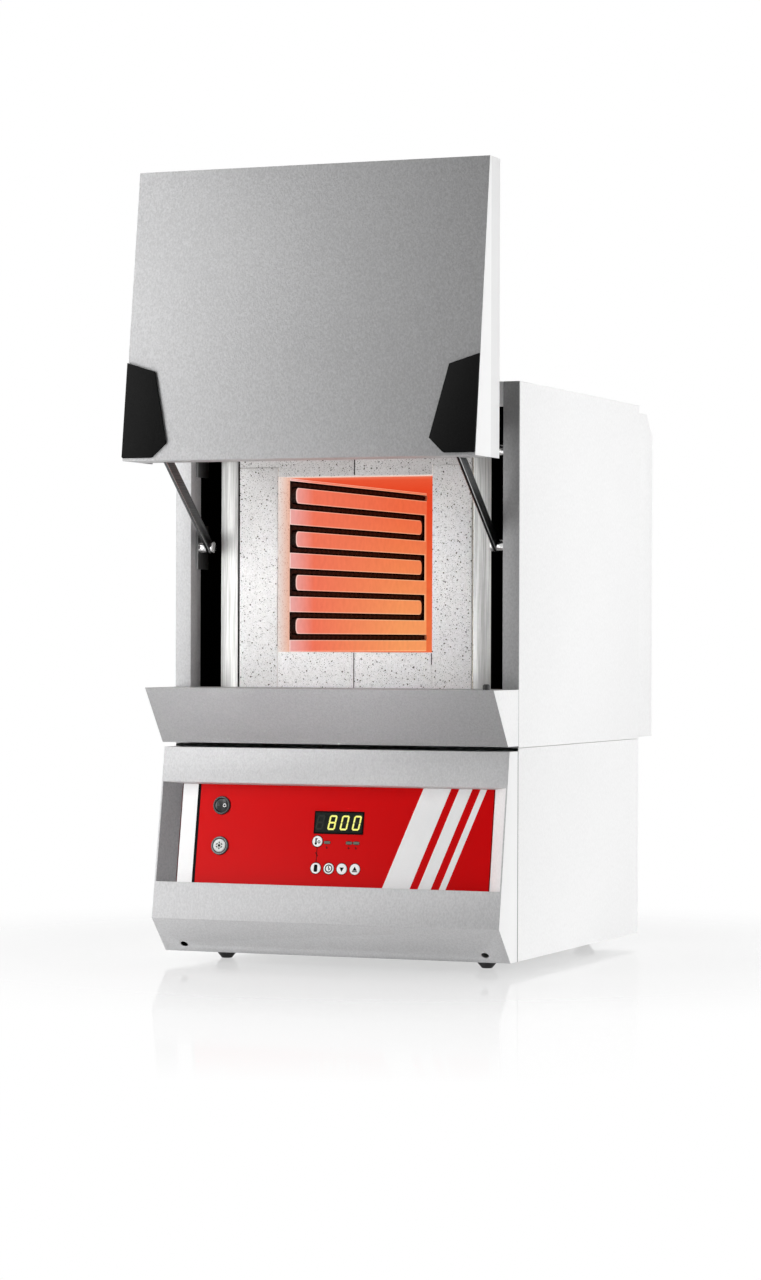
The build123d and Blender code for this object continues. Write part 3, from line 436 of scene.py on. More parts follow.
# %% [markdown]
# ## Folded and moulded edges
# No real sheet has a knife edge: a folded panel turns round a radius, and a bar's edges are broken.
# Each such piece is a copy of its node, joined up, freed of flat diagonals and given a small bevel.
# The copy then takes the node's place on the same moving body.


# %% Soften the edges of nodes
BEVEL_STEPS = 2
SHARPEST_KEPT = math.radians(30.0)


def soften(node, width_mm):
    """A copy of a node with its sharp edges rounded, standing for it."""
    bpy.ops.object.select_all(action="DESELECT")
    source = frame["nodes"][node]
    piece = bpy.data.objects.new(node + "_formed", source.data.copy())
    bpy.context.scene.collection.objects.link(piece)
    bpy.context.view_layer.objects.active = piece
    piece.select_set(True)
    bpy.ops.object.mode_set(mode="EDIT")
    bpy.ops.mesh.select_all(action="SELECT")
    bpy.ops.mesh.remove_doubles(threshold=0.00001)
    bpy.ops.mesh.dissolve_limited(angle_limit=math.radians(0.5))
    bpy.ops.object.mode_set(mode="OBJECT")
    bevel = piece.modifiers.new("edge", "BEVEL")
    bevel.width = width_mm * MM
    bevel.segments = BEVEL_STEPS
    bevel.angle_limit = SHARPEST_KEPT
    bevel.harden_normals = True
    bpy.ops.object.shade_smooth()
    bpy.ops.object.modifier_apply(modifier=bevel.name)
    finish_with(piece, finish_of_slot[slot_of_node[node]])
    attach(piece, body_of_node[node])
    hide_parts(node)
    piece.select_set(False)
    return piece


def paint(piece, material, chosen):
    """Gives a further material to the faces that chosen(middle, normal) picks, middles in millimetres."""
    piece.data.materials.append(material)
    index = len(piece.data.materials) - 1
    count = 0
    for face in piece.data.polygons:
        if chosen(face.center / MM, face.normal):
            face.material_index = index
            count += 1
    print(piece.name, material.name, count, "faces")


edge_widths = {
    "door_shell": 0.7, "column_left": 0.6, "column_right": 0.6, "chin_panel": 0.7, "base_fascia": 0.7,
    "side_panel_left": 0.4, "side_panel_right": 0.4, "top_cover": 0.5, "rear_cover": 0.5,
    "base_side_left": 0.4, "base_side_right": 0.4, "door_handle_left": 0.9, "door_handle_right": 0.9,
    "lower_arm_left": 0.5, "lower_arm_right": 0.5, "upper_arm_left": 0.5, "upper_arm_right": 0.5,
    "side_bricks": 0.8, "lintel_bricks": 0.8, "sill_bricks": 0.8, "pivot_caps": 0.4,
    "door_pin_caps": 0.4, "button_cap": 0.3, "rocker": 0.25, "rocker_bezel": 0.3, "button_bezel": 0.3,
    "inner_case": 0.3, "door_pan": 0.4, "element_wall_left": 1.0, "element_wall_right": 1.0,
    "pivot_brackets": 0.3, "door_brackets": 0.3, "feet": 0.5, "base_tray": 0.3, "chamber_roof": 0.3,
    "chamber_floor": 0.3, "chamber_back": 0.3,
}
formed = {}
for node, width in edge_widths.items():
    formed[node] = soften(node, width)
    print(node, len(formed[node].data.polygons), "faces")

# %% [markdown]
# ### Two finishes on one sheet
# The housing's ends are sprayed white while its front faces are silver grey, so the folded returns at
# the sides change colour at the fold. Inside the linkage slots the faces are painted black as shade.
# Faces are picked by their place and by the way they point.

# %% Paint single faces
END_REACH = 1.0            # millimetres from the outside within which a face counts as an end
COLUMN_FRONT_DEPTH = 27.0  # how far back a column's silver front reaches
CASE_SKIN = 0.6            # how far in from the case's side its outer faces lie at most
STUD_REACH = 3.5           # how far a bracket's plate reaches in from its outer side
GROOVE_LIP = 0.8           # just behind the grooved wall's face
GROOVE_BOTTOM = 5.0        # deep enough to be the bottom of a groove
FINGER_END_DEPTH = 40.0    # how far behind the collar the fingers' front ends lie
LOWEST_GROOVE, HIGHEST_FINGER = 375.0, 572.0
MOUTH_LOW, MOUTH_HIGH, MOUTH_LIP = 380.0, 600.0, 1.5


def banded_side(name, line_y, *stops):
    """White powder coat whose colour runs through the stops over the 10 mm about line_y, front to back."""
    material = powder_coat(name, stops[0][1], stops[0][1], 2.2, 0.10, 0.42)
    tree = material.node_tree
    shader = tree.nodes["Principled BSDF"]
    place = add(tree, "ShaderNodeTexCoord").outputs["Object"]
    split = add(tree, "ShaderNodeSeparateXYZ", {"Vector": place})
    across = add(tree, "ShaderNodeMapRange", {"Value": split.outputs["Y"], "From Min": line_y - 5.0 * MM,
                                              "From Max": line_y + 5.0 * MM})
    tree.links.new(ramp(tree, across.outputs["Result"], *stops), shader.inputs["Base Color"])
    return material


# the door's side: front wedge, weld line and rear frame tell its two parts apart
door_side_powder = banded_side("two_tone_white_powder_coat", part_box("door_shell")[1].y - 29.0 * MM,
                               (0.22, "#FBFBFB"), (0.34, "#FFFFFF"), (0.5, "#FFFFFF"), (0.6, "#ECECEC"))
# the base front's ends: white, with the dark seam to the side panel behind them
seamed_powder = banded_side("white_powder_coat_with_seam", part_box("base_side_right")[0].y,
                            (0.0, "#F8F8F8"), (0.24, "#F8F8F8"), (0.27, "#1C1C1C"), (0.5, "#1C1C1C"))
cabinet_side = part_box("side_panel_right")[1].x / MM
case_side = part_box("inner_case")[1].x / MM
chamber_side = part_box("element_wall_right")[0].x / MM
collar_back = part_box("element_wall_right")[0].y / MM
# the shelf and right column wear the coat in painted shade, the base's front and left column in painted light
finish_with(formed["chin_panel"], painted_shade_powder)
finish_with(formed["base_fascia"], painted_light_powder)
finish_with(formed["column_left"], painted_light_powder)
finish_with(formed["column_right"], painted_shade_powder)
for node, finish in (("door_shell", door_side_powder), ("chin_panel", white_powder),
                     ("base_fascia", seamed_powder)):
    paint(formed[node], finish,
          lambda middle, normal: abs(normal.x) > 0.8 and abs(middle.x) > cabinet_side - END_REACH)
# inside the linkage slots: painted shade, black, so that the bars stand out
slot_painted_shade = moulded("painted_shade_black", "#020202", "#070707", 1.5, 0.05, 0.90, gloss=0.05)
for node in ("side_panel_left", "side_panel_right"):
    paint(formed[node], slot_painted_shade, lambda middle, normal: normal.x * middle.x < -0.5 * abs(middle.x))
paint(formed["inner_case"], slot_painted_shade,
      lambda middle, normal: abs(middle.x) > case_side - CASE_SKIN and abs(normal.x) > 0.8)
for node in ("column_left", "column_right"):
    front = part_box(node)[0].y / MM
    paint(formed[node], slot_painted_shade,
          lambda middle, normal: middle.y > front + COLUMN_FRONT_DEPTH or normal.y > 0.5)
# the panel recess's cheeks: the left one a deeper grey as painted shade, the right one white as painted light
recess_shade = powder_coat("shaded_recess_powder_coat", "#8D8D8E", "#979799", 1.8, 0.25, 0.50)
panel_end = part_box("control_panel")[1].x / MM
for side, cheek_shade_and_light in ((-1.0, recess_shade), (1.0, white_powder)):
    paint(formed["base_fascia"], cheek_shade_and_light,
          lambda middle, normal: side * normal.x < -0.35 and side * middle.x > panel_end - END_REACH)
# the right bars in painted shade, and every bar's bevelled edges with a painted highlight
for node in ("lower_arm_right", "upper_arm_right"):
    finish_with(formed[node], painted_shade_bar)
for node in ("lower_arm_left", "lower_arm_right", "upper_arm_left", "upper_arm_right"):
    paint(formed[node], painted_edge_highlight, lambda middle, normal: 0.2 < abs(normal.x) < 0.95)
finish_with(formed["pivot_brackets"], dull_zinc)
plate_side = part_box("pivot_brackets")[1].x / MM - STUD_REACH
paint(formed["pivot_brackets"], chrome, lambda middle, normal: abs(middle.x) < plate_side)
finish_with(formed["pivot_caps"], chrome)
finish_with(formed["button_bezel"], dark_chrome)
finish_with(formed["button_cap"], dull_zinc)
# open joints between bricks and boards: a thin dark line, and on the left board's front face painted shade
joint_and_painted_shade = moulded("shadowed_joint", "#0A0908", "#15130F", 2.0, 0.05, 0.95, gloss=0.05)
# the left board's front face, seen in the gap, is painted dark as shade
paint(frame["nodes"]["backing_boards"], joint_and_painted_shade, lambda middle, normal: normal.y < -0.9 and middle.x < 0.0)
# walls and bottoms of the grooves: painted shade, black against the fingers
groove_painted_shade = moulded("groove_wall_painted_shade", "#050403", "#0C0908", 2.0, 0.10, 0.95, gloss=0.05)
# front ends of the fingers, which don't glow: a dim grey of painted shade
finger_end_painted_shade = moulded("finger_end_painted_shade_grey", "#4A4644", "#5C5754", 2.0, 0.20, 0.95, gloss=0.05)
# on the grooved walls: a painted highlight on the rims, painted shade in the grooves and on the fingers'
# front ends
for node in ("element_wall_left", "element_wall_right"):
    wall = formed[node]
    paint(wall, hot_edge_painted_highlight, lambda middle, normal: 0.15 < abs(normal.x) < 0.95)
    paint(wall, groove_painted_shade, lambda middle, normal: abs(middle.x) > chamber_side + GROOVE_LIP
          and middle.z > LOWEST_GROOVE and abs(normal.x) < 0.95)
    paint(wall, groove_painted_shade,
          lambda middle, normal: abs(middle.x) > chamber_side + GROOVE_BOTTOM and abs(normal.x) > 0.9)
    paint(wall, finger_end_painted_shade, lambda middle, normal: abs(middle.x) > chamber_side + GROOVE_LIP
          and normal.y < -0.25 and middle.y < collar_back + FINGER_END_DEPTH and middle.z < HIGHEST_FINGER)
for node in ("chamber_roof", "chamber_floor", "chamber_back"):
    finish_with(formed[node], hot_vault_painted_shade)
mouth_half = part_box("sill_bricks")[1].x / MM
# the bricks' faces that look into the mouth get the chamber's light painted on
for node in ("side_bricks", "lintel_bricks", "sill_bricks"):
    paint(formed[node], jamb_painted_glow,
          lambda middle, normal: abs(normal.y) < 0.3 and abs(middle.x) < mouth_half + MOUTH_LIP
          and MOUTH_LOW < middle.z < MOUTH_HIGH)
print("painted", len(formed), "formed pieces")

# %% [markdown]
# ## The panel's own plane
# The control panel leans back, so its prints are drawn flat, x to the right and y up, in millimetres,
# and then stood on its face. The push button's travel gives the direction straight out of the panel.

# %% A place on the panel
press = next(joint for joint in record["behaviour"]["joints"] if joint["name"] == "push_button_press")
panel_right = Vector((1.0, 0.0, 0.0))
panel_out = Vector(press["axis"]).normalized()
if panel_out.y > 0.0:
    panel_out.negate()
panel_up = panel_out.cross(panel_right)
panel_turn = Matrix((panel_right, panel_up, panel_out)).transposed().to_4x4()
window_low, window_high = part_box("display_window")
window_middle = (window_low + window_high) / 2
WINDOW_X, WINDOW_V, WINDOW_SINK = 6.2, 16.7, 0.7  # the display's middle on the panel, and its depth below
panel_middle = window_middle + (WINDOW_SINK * panel_out - WINDOW_X * panel_right - WINDOW_V * panel_up) * MM
PANEL_HALF_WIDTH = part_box("control_panel")[1].x / MM
PANEL_HALF_HEIGHT = (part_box("control_panel")[1].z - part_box("control_panel")[0].z) / MM / 2 / panel_up.z


def on_panel(x, v, proud=0.0):
    """The matrix that stands a flat drawing in metres on the panel's face, x and v in millimetres."""
    place = panel_middle + (x * panel_right + v * panel_up + proud * panel_out) * MM
    return Matrix.Translation(place) @ panel_turn


print("panel", round(2 * PANEL_HALF_WIDTH, 1), "by", round(2 * PANEL_HALF_HEIGHT, 1), "mm")

# %% [markdown]
# ### Cutting a print
# A screen print is a skin of ink a few hundredths of a millimetre thick. Each mark starts as a flat
# primitive, is pushed to its outline in edit mode, and is given a thickness. That is 0.04 to 0.08 mm,
# at times a little more than real ink, so that it stays clear of the film below.


# %% Flat shapes
def start_flat(name, corners=4):
    """A new flat primitive one metre across, open in edit mode: a square, or a polygon of more corners."""
    bpy.ops.object.select_all(action="DESELECT")
    if corners == 4:
        bpy.ops.mesh.primitive_plane_add(size=1.0)
    else:
        bpy.ops.mesh.primitive_circle_add(vertices=corners, radius=0.5, fill_type="NGON")
    piece = bpy.context.object
    piece.name = name
    bpy.ops.object.mode_set(mode="EDIT")
    bpy.ops.mesh.select_all(action="SELECT")
    return piece


def stretch_flat(width_mm, height_mm):
    """Sizes the open drawing, in millimetres."""
    bpy.ops.transform.resize(value=(width_mm * MM, height_mm * MM, 1.0), center_override=(0.0, 0.0, 0.0))


def turn_flat(degrees):
    """Turns what is selected about the drawing's origin."""
    bpy.ops.transform.rotate(value=math.radians(degrees), orient_axis="Z", center_override=(0.0, 0.0, 0.0))


def pick_corners(piece, chosen):
    """Selects the open drawing's corners that chosen(x, y) picks, in millimetres."""
    bpy.ops.mesh.select_mode(type="VERT")
    bpy.ops.mesh.select_all(action="DESELECT")
    bpy.ops.object.mode_set(mode="OBJECT")
    for vertex in piece.data.vertices:
        vertex.select = chosen(vertex.co.x / MM, vertex.co.y / MM)
    bpy.ops.object.mode_set(mode="EDIT")


def push(x_mm, y_mm):
    """Moves what is selected."""
    bpy.ops.transform.translate(value=(x_mm * MM, y_mm * MM, 0.0))


def ring_flat(name, radius_mm, width_mm, corners=32, x=0.0, y=0.0):
    """A flat ring at x, y: a disc, its rim inset, and the middle taken out."""
    piece = start_flat(name, corners)
    stretch_flat(2 * radius_mm, 2 * radius_mm)
    bpy.ops.mesh.inset(thickness=width_mm * MM)
    bpy.ops.mesh.delete(type="FACE")
    bpy.ops.mesh.select_all(action="SELECT")
    push(x, y)
    bpy.ops.object.mode_set(mode="OBJECT")
    return piece


def bar_flat(name, width_mm, height_mm, x=0.0, y=0.0, lean=0.0, turn=0.0):
    """A flat bar at x, y; lean slides its top edge along, and turn is in degrees about its middle."""
    piece = start_flat(name)
    stretch_flat(width_mm, height_mm)
    if lean:
        pick_corners(piece, lambda corner_x, corner_y: corner_y > 0.0)
        push(lean, 0.0)
        bpy.ops.mesh.select_all(action="SELECT")
    if turn:
        turn_flat(turn)
    push(x, y)
    bpy.ops.object.mode_set(mode="OBJECT")
    return piece


def polygon_flat(name, corners, width_mm, height_mm, x=0.0, y=0.0, turn=0.0):
    """A flat regular polygon or disc at x, y."""
    piece = start_flat(name, corners)
    if turn:
        turn_flat(turn)
    stretch_flat(width_mm, height_mm)
    push(x, y)
    bpy.ops.object.mode_set(mode="OBJECT")
    return piece


def joined(name, *pieces):
    """Several flat drawings as one."""
    bpy.ops.object.select_all(action="DESELECT")
    for piece in pieces:
        piece.select_set(True)
    bpy.context.view_layer.objects.active = pieces[0]
    if len(pieces) > 1:
        bpy.ops.object.join()
    pieces[0].name = name
    return pieces[0]


def print_on(piece, place, material, body, ink_mm=0.08):
    """Stands a flat drawing in its place, thickens it to a skin of ink and lets it ride on a body."""
    bpy.ops.object.select_all(action="DESELECT")
    bpy.context.view_layer.objects.active = piece
    piece.select_set(True)
    piece.matrix_world = place
    bpy.ops.object.transform_apply(location=True, rotation=True, scale=True)
    ink = piece.modifiers.new("ink", "SOLIDIFY")
    ink.thickness = ink_mm * MM
    ink.offset = 1.0
    bpy.ops.object.modifier_apply(modifier=ink.name)
    finish_with(piece, material)
    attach(piece, body)
    piece.select_set(False)
    return piece


print("flat shapes ready")

# %% [markdown]
# ### Bands at the panel's ends
# The film carries a white band with a dark edge at its left end, and slanted white bars at its right end.
# They are plain shapes: a full-height bar, and bars whose top edge is slid to the right.

# %% Bands and slanted bars
band_height = 2 * PANEL_HALF_HEIGHT - 0.4
band = bar_flat("left_band_print", 20.0, band_height)
print_on(band, on_panel(0.2 - PANEL_HALF_WIDTH + 10.0, 0.0, 0.02), white_film, "cabinet")
edge_line = bar_flat("left_band_edge_print", 3.7, band_height)
print_on(edge_line, on_panel(22.0 - PANEL_HALF_WIDTH, 0.0, 0.02), black_film, "cabinet")
# a dark outline at the panel's left, right and foot: the gap round the panel, its shade painted on
outline = [bar_flat("outline_left", 0.7, band_height, x=0.5 - PANEL_HALF_WIDTH),
           bar_flat("outline_right", 0.7, band_height, x=PANEL_HALF_WIDTH - 0.5),
           bar_flat("outline_foot", 2 * PANEL_HALF_WIDTH - 0.4, 0.7, y=0.5 - PANEL_HALF_HEIGHT)]
print_on(joined("panel_gap_painted_shade", *outline), on_panel(0.0, 0.0, 0.06), black_film,
         "cabinet")
slant = 44.0
bars = [bar_flat("slanted_bar_%d" % i, width, band_height, x=x, lean=slant)
        for i, (x, width) in enumerate(((82.0, 34.0), (117.0, 16.0), (139.0, 8.0)))]
print_on(joined("slanted_bars_print", *bars), on_panel(0.0, 0.0, 0.02), white_film, "cabinet")
print("bands", band.name, edge_line.name, bars[0].name)

# %% [markdown]
# ### Joints between the mouth's bricks
# Firebricks are laid with a joint under a millimetre wide, and soot fills it. Each joint is a thin dark strip
# that stands on the bricks' front, like a print.

# %% Brick joints
brick_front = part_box("side_bricks")[0].y - 0.02 * MM
upright_front = Matrix.Rotation(math.radians(90.0), 4, "X")
JOINT_WIDTH = 1.1
SHORT_JOINT = 13.6  # the joint at the mouth's right corner has opened only near its top
brick_edge = edge_widths["sill_bricks"]
lintel_low, lintel_high = (corner.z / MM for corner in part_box("lintel_bricks"))
sill_low, sill_high = (corner.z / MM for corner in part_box("sill_bricks"))
sill_top = sill_high - brick_edge
joints = (("lintel_joint", 0.0, lintel_low + brick_edge, lintel_high - brick_edge),
          ("sill_joint", 0.0, sill_low + brick_edge, sill_top),
          ("right_sill_joint", mouth_half + 0.1, sill_top - SHORT_JOINT, sill_top))
for name, joint_x, low_z, high_z in joints:
    strip = bar_flat(name, JOINT_WIDTH, high_z - low_z)
    joint_place = Matrix.Translation((joint_x * MM, brick_front, (low_z + high_z) / 2 * MM))
    print_on(strip, joint_place @ upright_front, joint_and_painted_shade, "cabinet", 0.05)
print("brick joints at the mouth", strip.name)

# %% [markdown]
# ### Temperature display
# A light-emitting display has seven slanted segments for each digit, with dark gaps between them, behind
# smoked acrylic. One segment is a bar with two pointed ends, and it is drawn seven times for each digit.
# A lit segment is an emission, so that it stays as bright in any light, and unlit ones show as faint ghosts.


# %% Digits
def segment(name, length_mm, width_mm, x, y, upright):
    """One pointed bar of a digit, lying or upright, at x, y."""
    piece = start_flat(name)
    stretch_flat(length_mm - width_mm, width_mm)
    for end in (-1.0, 1.0):
        pick_corners(piece, lambda corner_x, corner_y: corner_x * end > 0.0 and abs(corner_x) < length_mm / 2)
        bpy.ops.mesh.extrude_edges_move(TRANSFORM_OT_translate={"value": (end * width_mm / 2 * MM, 0.0, 0.0)})
        bpy.ops.mesh.merge(type="CENTER")
    bpy.ops.mesh.select_all(action="SELECT")
    if upright:
        turn_flat(90.0)
    push(x, y)
    bpy.ops.object.mode_set(mode="OBJECT")
    return piece


DIGIT_WIDTH, DIGIT_HEIGHT, STROKE, DIGIT_GAP = 7.5, 15.4, 2.0, 0.5
SEGMENT_PLACES = {
    "top": (0.0, DIGIT_HEIGHT / 2, False), "middle": (0.0, 0.0, False),
    "bottom": (0.0, -DIGIT_HEIGHT / 2, False),
    "upper_left": (-DIGIT_WIDTH / 2, DIGIT_HEIGHT / 4, True),
    "upper_right": (DIGIT_WIDTH / 2, DIGIT_HEIGHT / 4, True),
    "lower_left": (-DIGIT_WIDTH / 2, -DIGIT_HEIGHT / 4, True),
    "lower_right": (DIGIT_WIDTH / 2, -DIGIT_HEIGHT / 4, True),
}
LIT_SEGMENTS = {"8": tuple(SEGMENT_PLACES), "0": tuple(k for k in SEGMENT_PLACES if k != "middle"), " ": ()}
lean_right = Matrix.Identity(4)
lean_right[0][1] = math.tan(math.radians(10.0))
digit_middles = ((" ", -23.3), ("8", -8.0), ("0", 7.4), ("0", 22.7))
lit, ghost = [], []
for order, (digit, middle_x) in enumerate(digit_middles):
    for part, (x, y, upright) in SEGMENT_PLACES.items():
        length = (DIGIT_HEIGHT / 2 if upright else DIGIT_WIDTH) - DIGIT_GAP
        mark = segment("segment_%d_%s" % (order, part), length + STROKE / 2, STROKE, x, y, upright)
        mark.data.transform(Matrix.Translation((middle_x * MM, 0.0, 0.0)) @ lean_right)
        (lit if part in LIT_SEGMENTS[digit] else ghost).append(mark)
# lit segments: a clear yellow that is the same in any light
glow, glow_tree, glow_shader, glow_place = start_material("lit_yellow_segment", Roughness=0.4)
spread = add(glow_tree, "ShaderNodeTexNoise", {"Vector": glow_place, "Scale": per_metre(1.6), "Detail": 1.0})
glow_shader.inputs["Base Color"].default_value = linear("#201C04")
glow_tree.links.new(ramp(glow_tree, spread.outputs["Fac"], (0.3, "#EFE94E"), (0.7, "#FAF98A")),
                    glow_shader.inputs["Emission Color"])
glow_shader.inputs["Emission Strength"].default_value = 1.0
# unlit segments: just visible in the dark window
ghost_film = moulded("unlit_segment", "#20241F", "#2A2E28", 1.2, 0.002, 0.30, gloss=0.1)
GLASS_PROUD = 0.62
window_place = on_panel(WINDOW_X, WINDOW_V, GLASS_PROUD)
print_on(joined("lit_digits", *lit), window_place, glow, "cabinet", 0.05)
print_on(joined("ghost_digits", *ghost), window_place, ghost_film, "cabinet", 0.05)
frame_bars = [bar_flat("glass_edge_%d" % i, w, h, x=x, y=y)
              for i, (w, h, x, y) in enumerate(((62.0, 1.5, 0.0, 12.45), (62.0, 1.5, 0.0, -12.45),
                                                (1.5, 23.4, -30.25, 0.0), (1.5, 23.4, 30.25, 0.0)))]
print_on(joined("display_border_print", *frame_bars), window_place, black_film, "cabinet",
         0.05)
print("digits", len(lit), "lit and", len(ghost), "unlit segments")

# %% [markdown]
# ### Signs on the keys
# The membrane keys carry plain signs: a page, a clock, arrows down and up, and a thermometer.
# They move with their keys, so each is filed on its key's own body and sits on the key's face.

# %% Key signs
KEY_PROUD = 0.52
KEY_ROW_V = -37.0
TEMPERATURE_KEY = (-19.3, -5.6)
key_row = {"key_page": -19.3, "key_timer": -2.9, "key_down": 13.5, "key_up": 29.9}
page = start_flat("page_sign")
stretch_flat(4.4, 8.4)
bpy.ops.mesh.bevel(offset=0.9 * MM, affect="VERTICES")
bpy.ops.object.mode_set(mode="OBJECT")
clock = [ring_flat("clock_ring", 4.7, 1.2), bar_flat("clock_hour", 1.1, 3.2, y=1.4),
         bar_flat("clock_minute", 1.1, 2.8, x=0.9, y=-0.9, turn=-135.0)]
down = [polygon_flat("down_sign", 3, 6.4, 6.6, turn=180.0)]
up = [polygon_flat("up_sign", 3, 6.4, 6.6), bar_flat("up_sign_foot", 6.4, 1.2, y=-2.7)]
for node, sign in (("key_page", [page]), ("key_timer", clock), ("key_down", down), ("key_up", up)):
    print_on(joined(node + "_sign", *sign), on_panel(key_row[node], KEY_ROW_V, KEY_PROUD), black_film,
             body_of_node[node])
thermometer = [bar_flat("thermometer_stem", 1.6, 5.6, x=-1.7, y=0.9),
               polygon_flat("thermometer_bulb", 16, 2.9, 2.9, x=-1.7, y=-2.5)]
degree = ring_flat("degree_ring", 1.8, 0.9, 20, x=2.2, y=-0.6)
step = bar_flat("thermometer_step", 1.6, 1.0, x=-0.6, y=3.0)
print_on(joined("key_temperature_sign", *thermometer, degree, step), on_panel(*TEMPERATURE_KEY, KEY_PROUD),
         black_film, body_of_node["key_temperature"])
print("signs on", len(key_row) + 1, "keys")

# %% [markdown]
# ### Small marks beside the keys
# A thin line joins the temperature key to the page key, and each indicator window has a tiny mark under it
# and a dark rim, as each key has. They are printed in a dark red over the film, so that they stay quiet.

# %% Panel marks
# small print: a red so dark that it hardly shows
dark_red_film = moulded("dark_red_print", "#4A0A0C", "#540C0F", 0.7, 0.002, 0.30, gloss=0.05)
marks = [bar_flat("joining_line", 0.8, 17.0, x=-19.3, y=-21.4),
         bar_flat("joining_mark", 1.2, 5.6, x=-19.3, y=-20.8, turn=-35.0)]
for i, x in enumerate((-7.0, 20.5, 29.6)):
    marks.append(bar_flat("bar_mark_%d" % i, 0.9, 3.0, x=x - 0.4, y=-12.4, turn=-20.0))
    marks.append(bar_flat("bar_tick_%d" % i, 2.6, 0.8, x=x, y=-12.9))
    marks.append(polygon_flat("bar_rim_%d" % i, 12, 9.4, 4.8, x=x, y=-6.6))
for i, (x, v) in enumerate([(x, KEY_ROW_V) for x in key_row.values()] + [TEMPERATURE_KEY]):
    marks.append(ring_flat("key_rim_%d" % i, 7.25, 0.75, x=x, y=v))
print_on(joined("panel_marks_print", *marks), on_panel(0.0, 0.0, 0.02), dark_red_film, "cabinet")
print("small marks", len(marks))

# %% [markdown]
# ### Marks on the switches
# The rocker is dished, so a mark has to lie on its tilted face. A ray sent at the panel finds the face
# and the way it points, and the mark is turned to match.

# %% Switch marks
def on_face(piece, x, v, proud):
    """The matrix that lays a flat drawing on a piece's face, found by a ray sent at the panel."""
    start = panel_middle + (x * panel_right + v * panel_up + 30.0 * panel_out) * MM
    place, normal = piece.ray_cast(start, -panel_out)[1:3]
    side = panel_up.cross(normal).normalized()
    turn = Matrix((side, normal.cross(side), normal)).transposed().to_4x4()
    return Matrix.Translation(place + normal * proud * MM) @ turn


rocker_v, rocker_x = 34.0, -144.5
off_ring = ring_flat("off_mark", 2.1, 0.8, 24)
print_on(off_ring, on_face(formed["rocker"], rocker_x + 3.6, rocker_v, 0.02), white_film,
         body_of_node["rocker"], 0.04)
on_bar = bar_flat("on_mark", 2.4, 0.8)
print_on(on_bar, on_face(formed["rocker"], rocker_x - 3.6, rocker_v, 0.02), indicator_film,
         body_of_node["rocker"], 0.04)
button_x, button_v = -143.4, -13.7
pale_face = polygon_flat("button_face_print", 32, 12.4, 12.4)
print_on(pale_face, on_face(formed["button_cap"], button_x, button_v, 0.02), button_plastic,
         body_of_node["button_cap"], 0.04)
rays_of_mark = [polygon_flat("mark_core", 16, 3.2, 3.2)]
for spoke in range(6):
    angle = math.radians(60.0 * spoke + 30.0)
    rays_of_mark.append(bar_flat("mark_ray_%d" % spoke, 1.3, 2.2, x=3.4 * math.cos(angle),
                                 y=3.4 * math.sin(angle), turn=60.0 * spoke - 60.0))
print_on(joined("button_mark", *rays_of_mark), on_face(formed["button_cap"], button_x, button_v, 0.08),
         black_film, body_of_node["button_cap"], 0.04)
print("switch marks", off_ring.name, on_bar.name, rays_of_mark[0].name)

# %% [markdown]
# ## Floor, backdrop and light
# The furnace stands on a pale floor in a white studio. The floor fades to a plain white away from it,
# and only the camera and reflections see that white, so it adds no light to the object.


# %% Studio
def seen_directly(tree):
    """1 for rays from the camera, a mirror or a window, and 0 for those that carry light."""
    rays = add(tree, "ShaderNodeLightPath")
    seen = add(tree, "ShaderNodeMath", {0: rays.outputs["Is Camera Ray"], 1: rays.outputs["Is Glossy Ray"]},
               operation="ADD", use_clamp=True)
    seen = add(tree, "ShaderNodeMath", {0: seen.outputs["Value"], 1: rays.outputs["Is Transmission Ray"]},
               operation="ADD", use_clamp=True)
    return seen.outputs["Value"]


PLAIN_NEAR, PLAIN_FAR = 0.30, 0.85    # metres over which the floor fades to plain white
MIRROR_NEAR, MIRROR_FAR = 0.25, 1.30  # metres over which its mirror fades out


def studio_floor():
    """White lacquered floor: a weak mirror and a shadow near the object, plain white further off."""
    material = bpy.data.materials.new("white_lacquered_floor")
    material.use_nodes = True
    tree = material.node_tree
    shader = tree.nodes["Principled BSDF"]
    shader.inputs["Base Color"].default_value = linear("#F4F4F4")
    shader.inputs["Roughness"].default_value = 1.0
    shader.inputs["Specular IOR Level"].default_value = 0.0
    output = tree.nodes["Material Output"]
    place = add(tree, "ShaderNodeTexCoord").outputs["Object"]
    distance = add(tree, "ShaderNodeVectorMath", {0: place}, operation="LENGTH")
    away = add(tree, "ShaderNodeMapRange", {"Value": distance.outputs["Value"], "From Min": PLAIN_NEAR,
                                            "From Max": PLAIN_FAR, "To Min": 0.78, "To Max": 1.0},
               interpolation_type="SMOOTHSTEP")
    plain = add(tree, "ShaderNodeMath", {0: away.outputs["Result"], 1: seen_directly(tree)},
                operation="MULTIPLY")
    white = add(tree, "ShaderNodeEmission", {"Color": linear("#FFFFFF"), "Strength": 1.0})
    matt = add(tree, "ShaderNodeMixShader", {"Fac": plain.outputs["Value"], 1: shader.outputs["BSDF"],
                                             2: white.outputs["Emission"]})
    mirror = add(tree, "ShaderNodeBsdfGlossy", {"Color": linear("#FFFFFF"), "Roughness": 0.07})
    near = add(tree, "ShaderNodeMapRange", {"Value": distance.outputs["Value"], "From Min": MIRROR_NEAR,
                                            "From Max": MIRROR_FAR, "To Min": 0.30, "To Max": 0.0})
    mixed = add(tree, "ShaderNodeMixShader", {"Fac": near.outputs["Result"], 1: matt.outputs["Shader"],
                                              2: mirror.outputs["BSDF"]})
    tree.links.new(mixed.outputs["Shader"], output.inputs["Surface"])
    return material


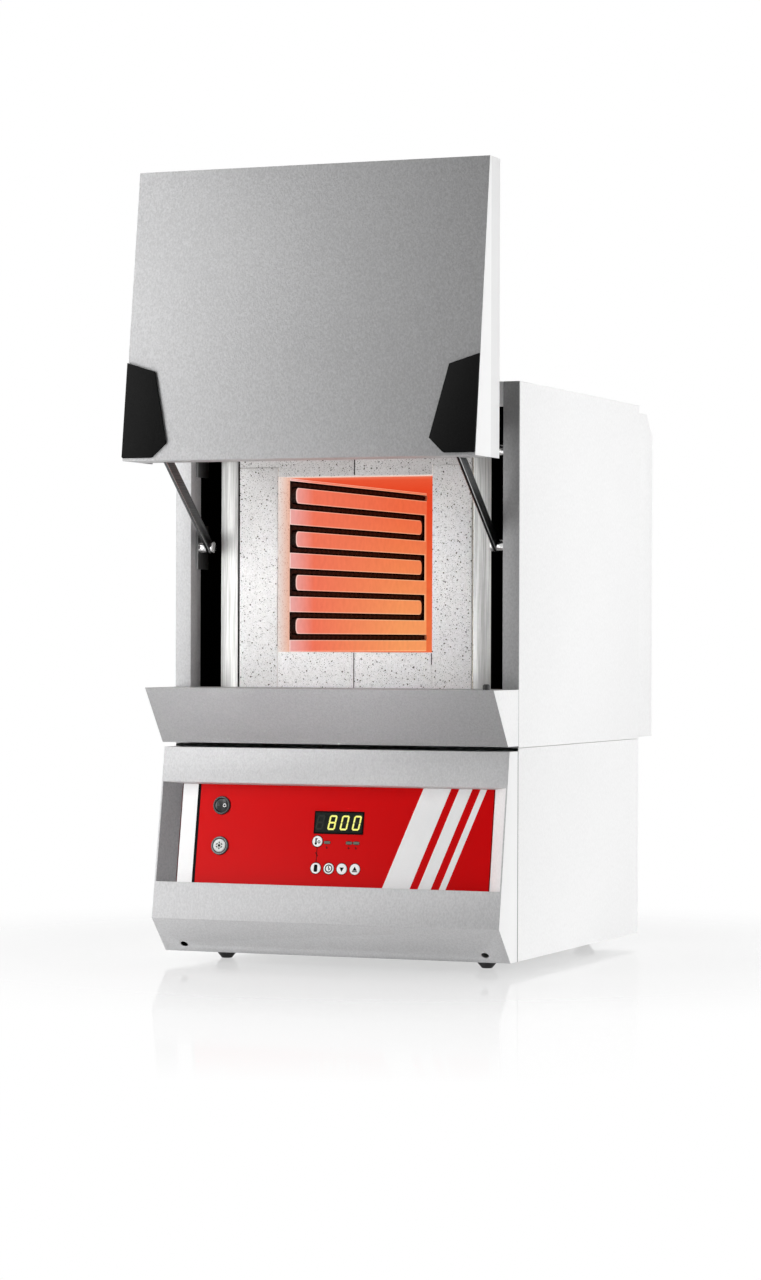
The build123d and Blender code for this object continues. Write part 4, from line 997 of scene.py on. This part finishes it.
bpy.ops.mesh.primitive_plane_add(size=60.0, location=(0, 0, 0))
floor = bpy.context.object
floor.name = "studio_floor"
finish_with(floor, studio_floor())

world = bpy.data.worlds.new("studio_world")
bpy.context.scene.world = world
world.use_nodes = True
world_tree = world.node_tree
surround = world_tree.nodes["Background"]
level = add(world_tree, "ShaderNodeMapRange", {"Value": seen_directly(world_tree), "To Min": 0.05,
                                               "To Max": 1.0})
surround.inputs["Color"].default_value = linear("#FFFFFF")
world_tree.links.new(level.outputs["Result"], surround.inputs["Strength"])


def soft_box(name, place, target, width, height, watts):
    """A large soft lamp at a place, aimed at a target, out of the camera's sight."""
    data = bpy.data.lights.new(name, "AREA")
    data.shape = "RECTANGLE"
    data.size = width
    data.size_y = height
    data.energy = watts
    lamp = bpy.data.objects.new(name, data)
    bpy.context.scene.collection.objects.link(lamp)
    aim = (Vector(target) - Vector(place)).to_track_quat("-Z", "Y").to_matrix().to_4x4()
    lamp.matrix_world = Matrix.Translation(place) @ aim
    lamp.visible_camera = False
    return lamp


soft_box("left_key_soft_box", (-0.75, -0.95, 0.85), (-0.1, -0.35, 0.7), 0.5, 0.8, 7.0)
soft_box("left_low_soft_box", (-0.7, -1.2, 0.22), (-0.1, -0.25, 0.15), 0.6, 0.35, 4.2)
soft_box("right_side_soft_box", (2.4, 0.2, 0.9), (0.2, 0.0, 0.4), 1.4, 1.6, 37.0)
soft_box("right_rear_soft_box", (1.8, 1.8, 1.2), (0.2, 0.1, 0.5), 1.2, 1.4, 4.4)
soft_box("left_rear_soft_box", (-2.2, 1.6, 1.1), (0.0, 0.1, 0.4), 1.4, 1.6, 22.0)
mouth_lamp = soft_box("mouth_spot", (-0.45, -2.2, 0.56), (0.0, -0.18, 0.40), 0.31, 0.30, 0.07)
mouth_lamp.data.spread = math.radians(5.0)

# %% [markdown]
# ## End

# %% End
print("scene dressed")
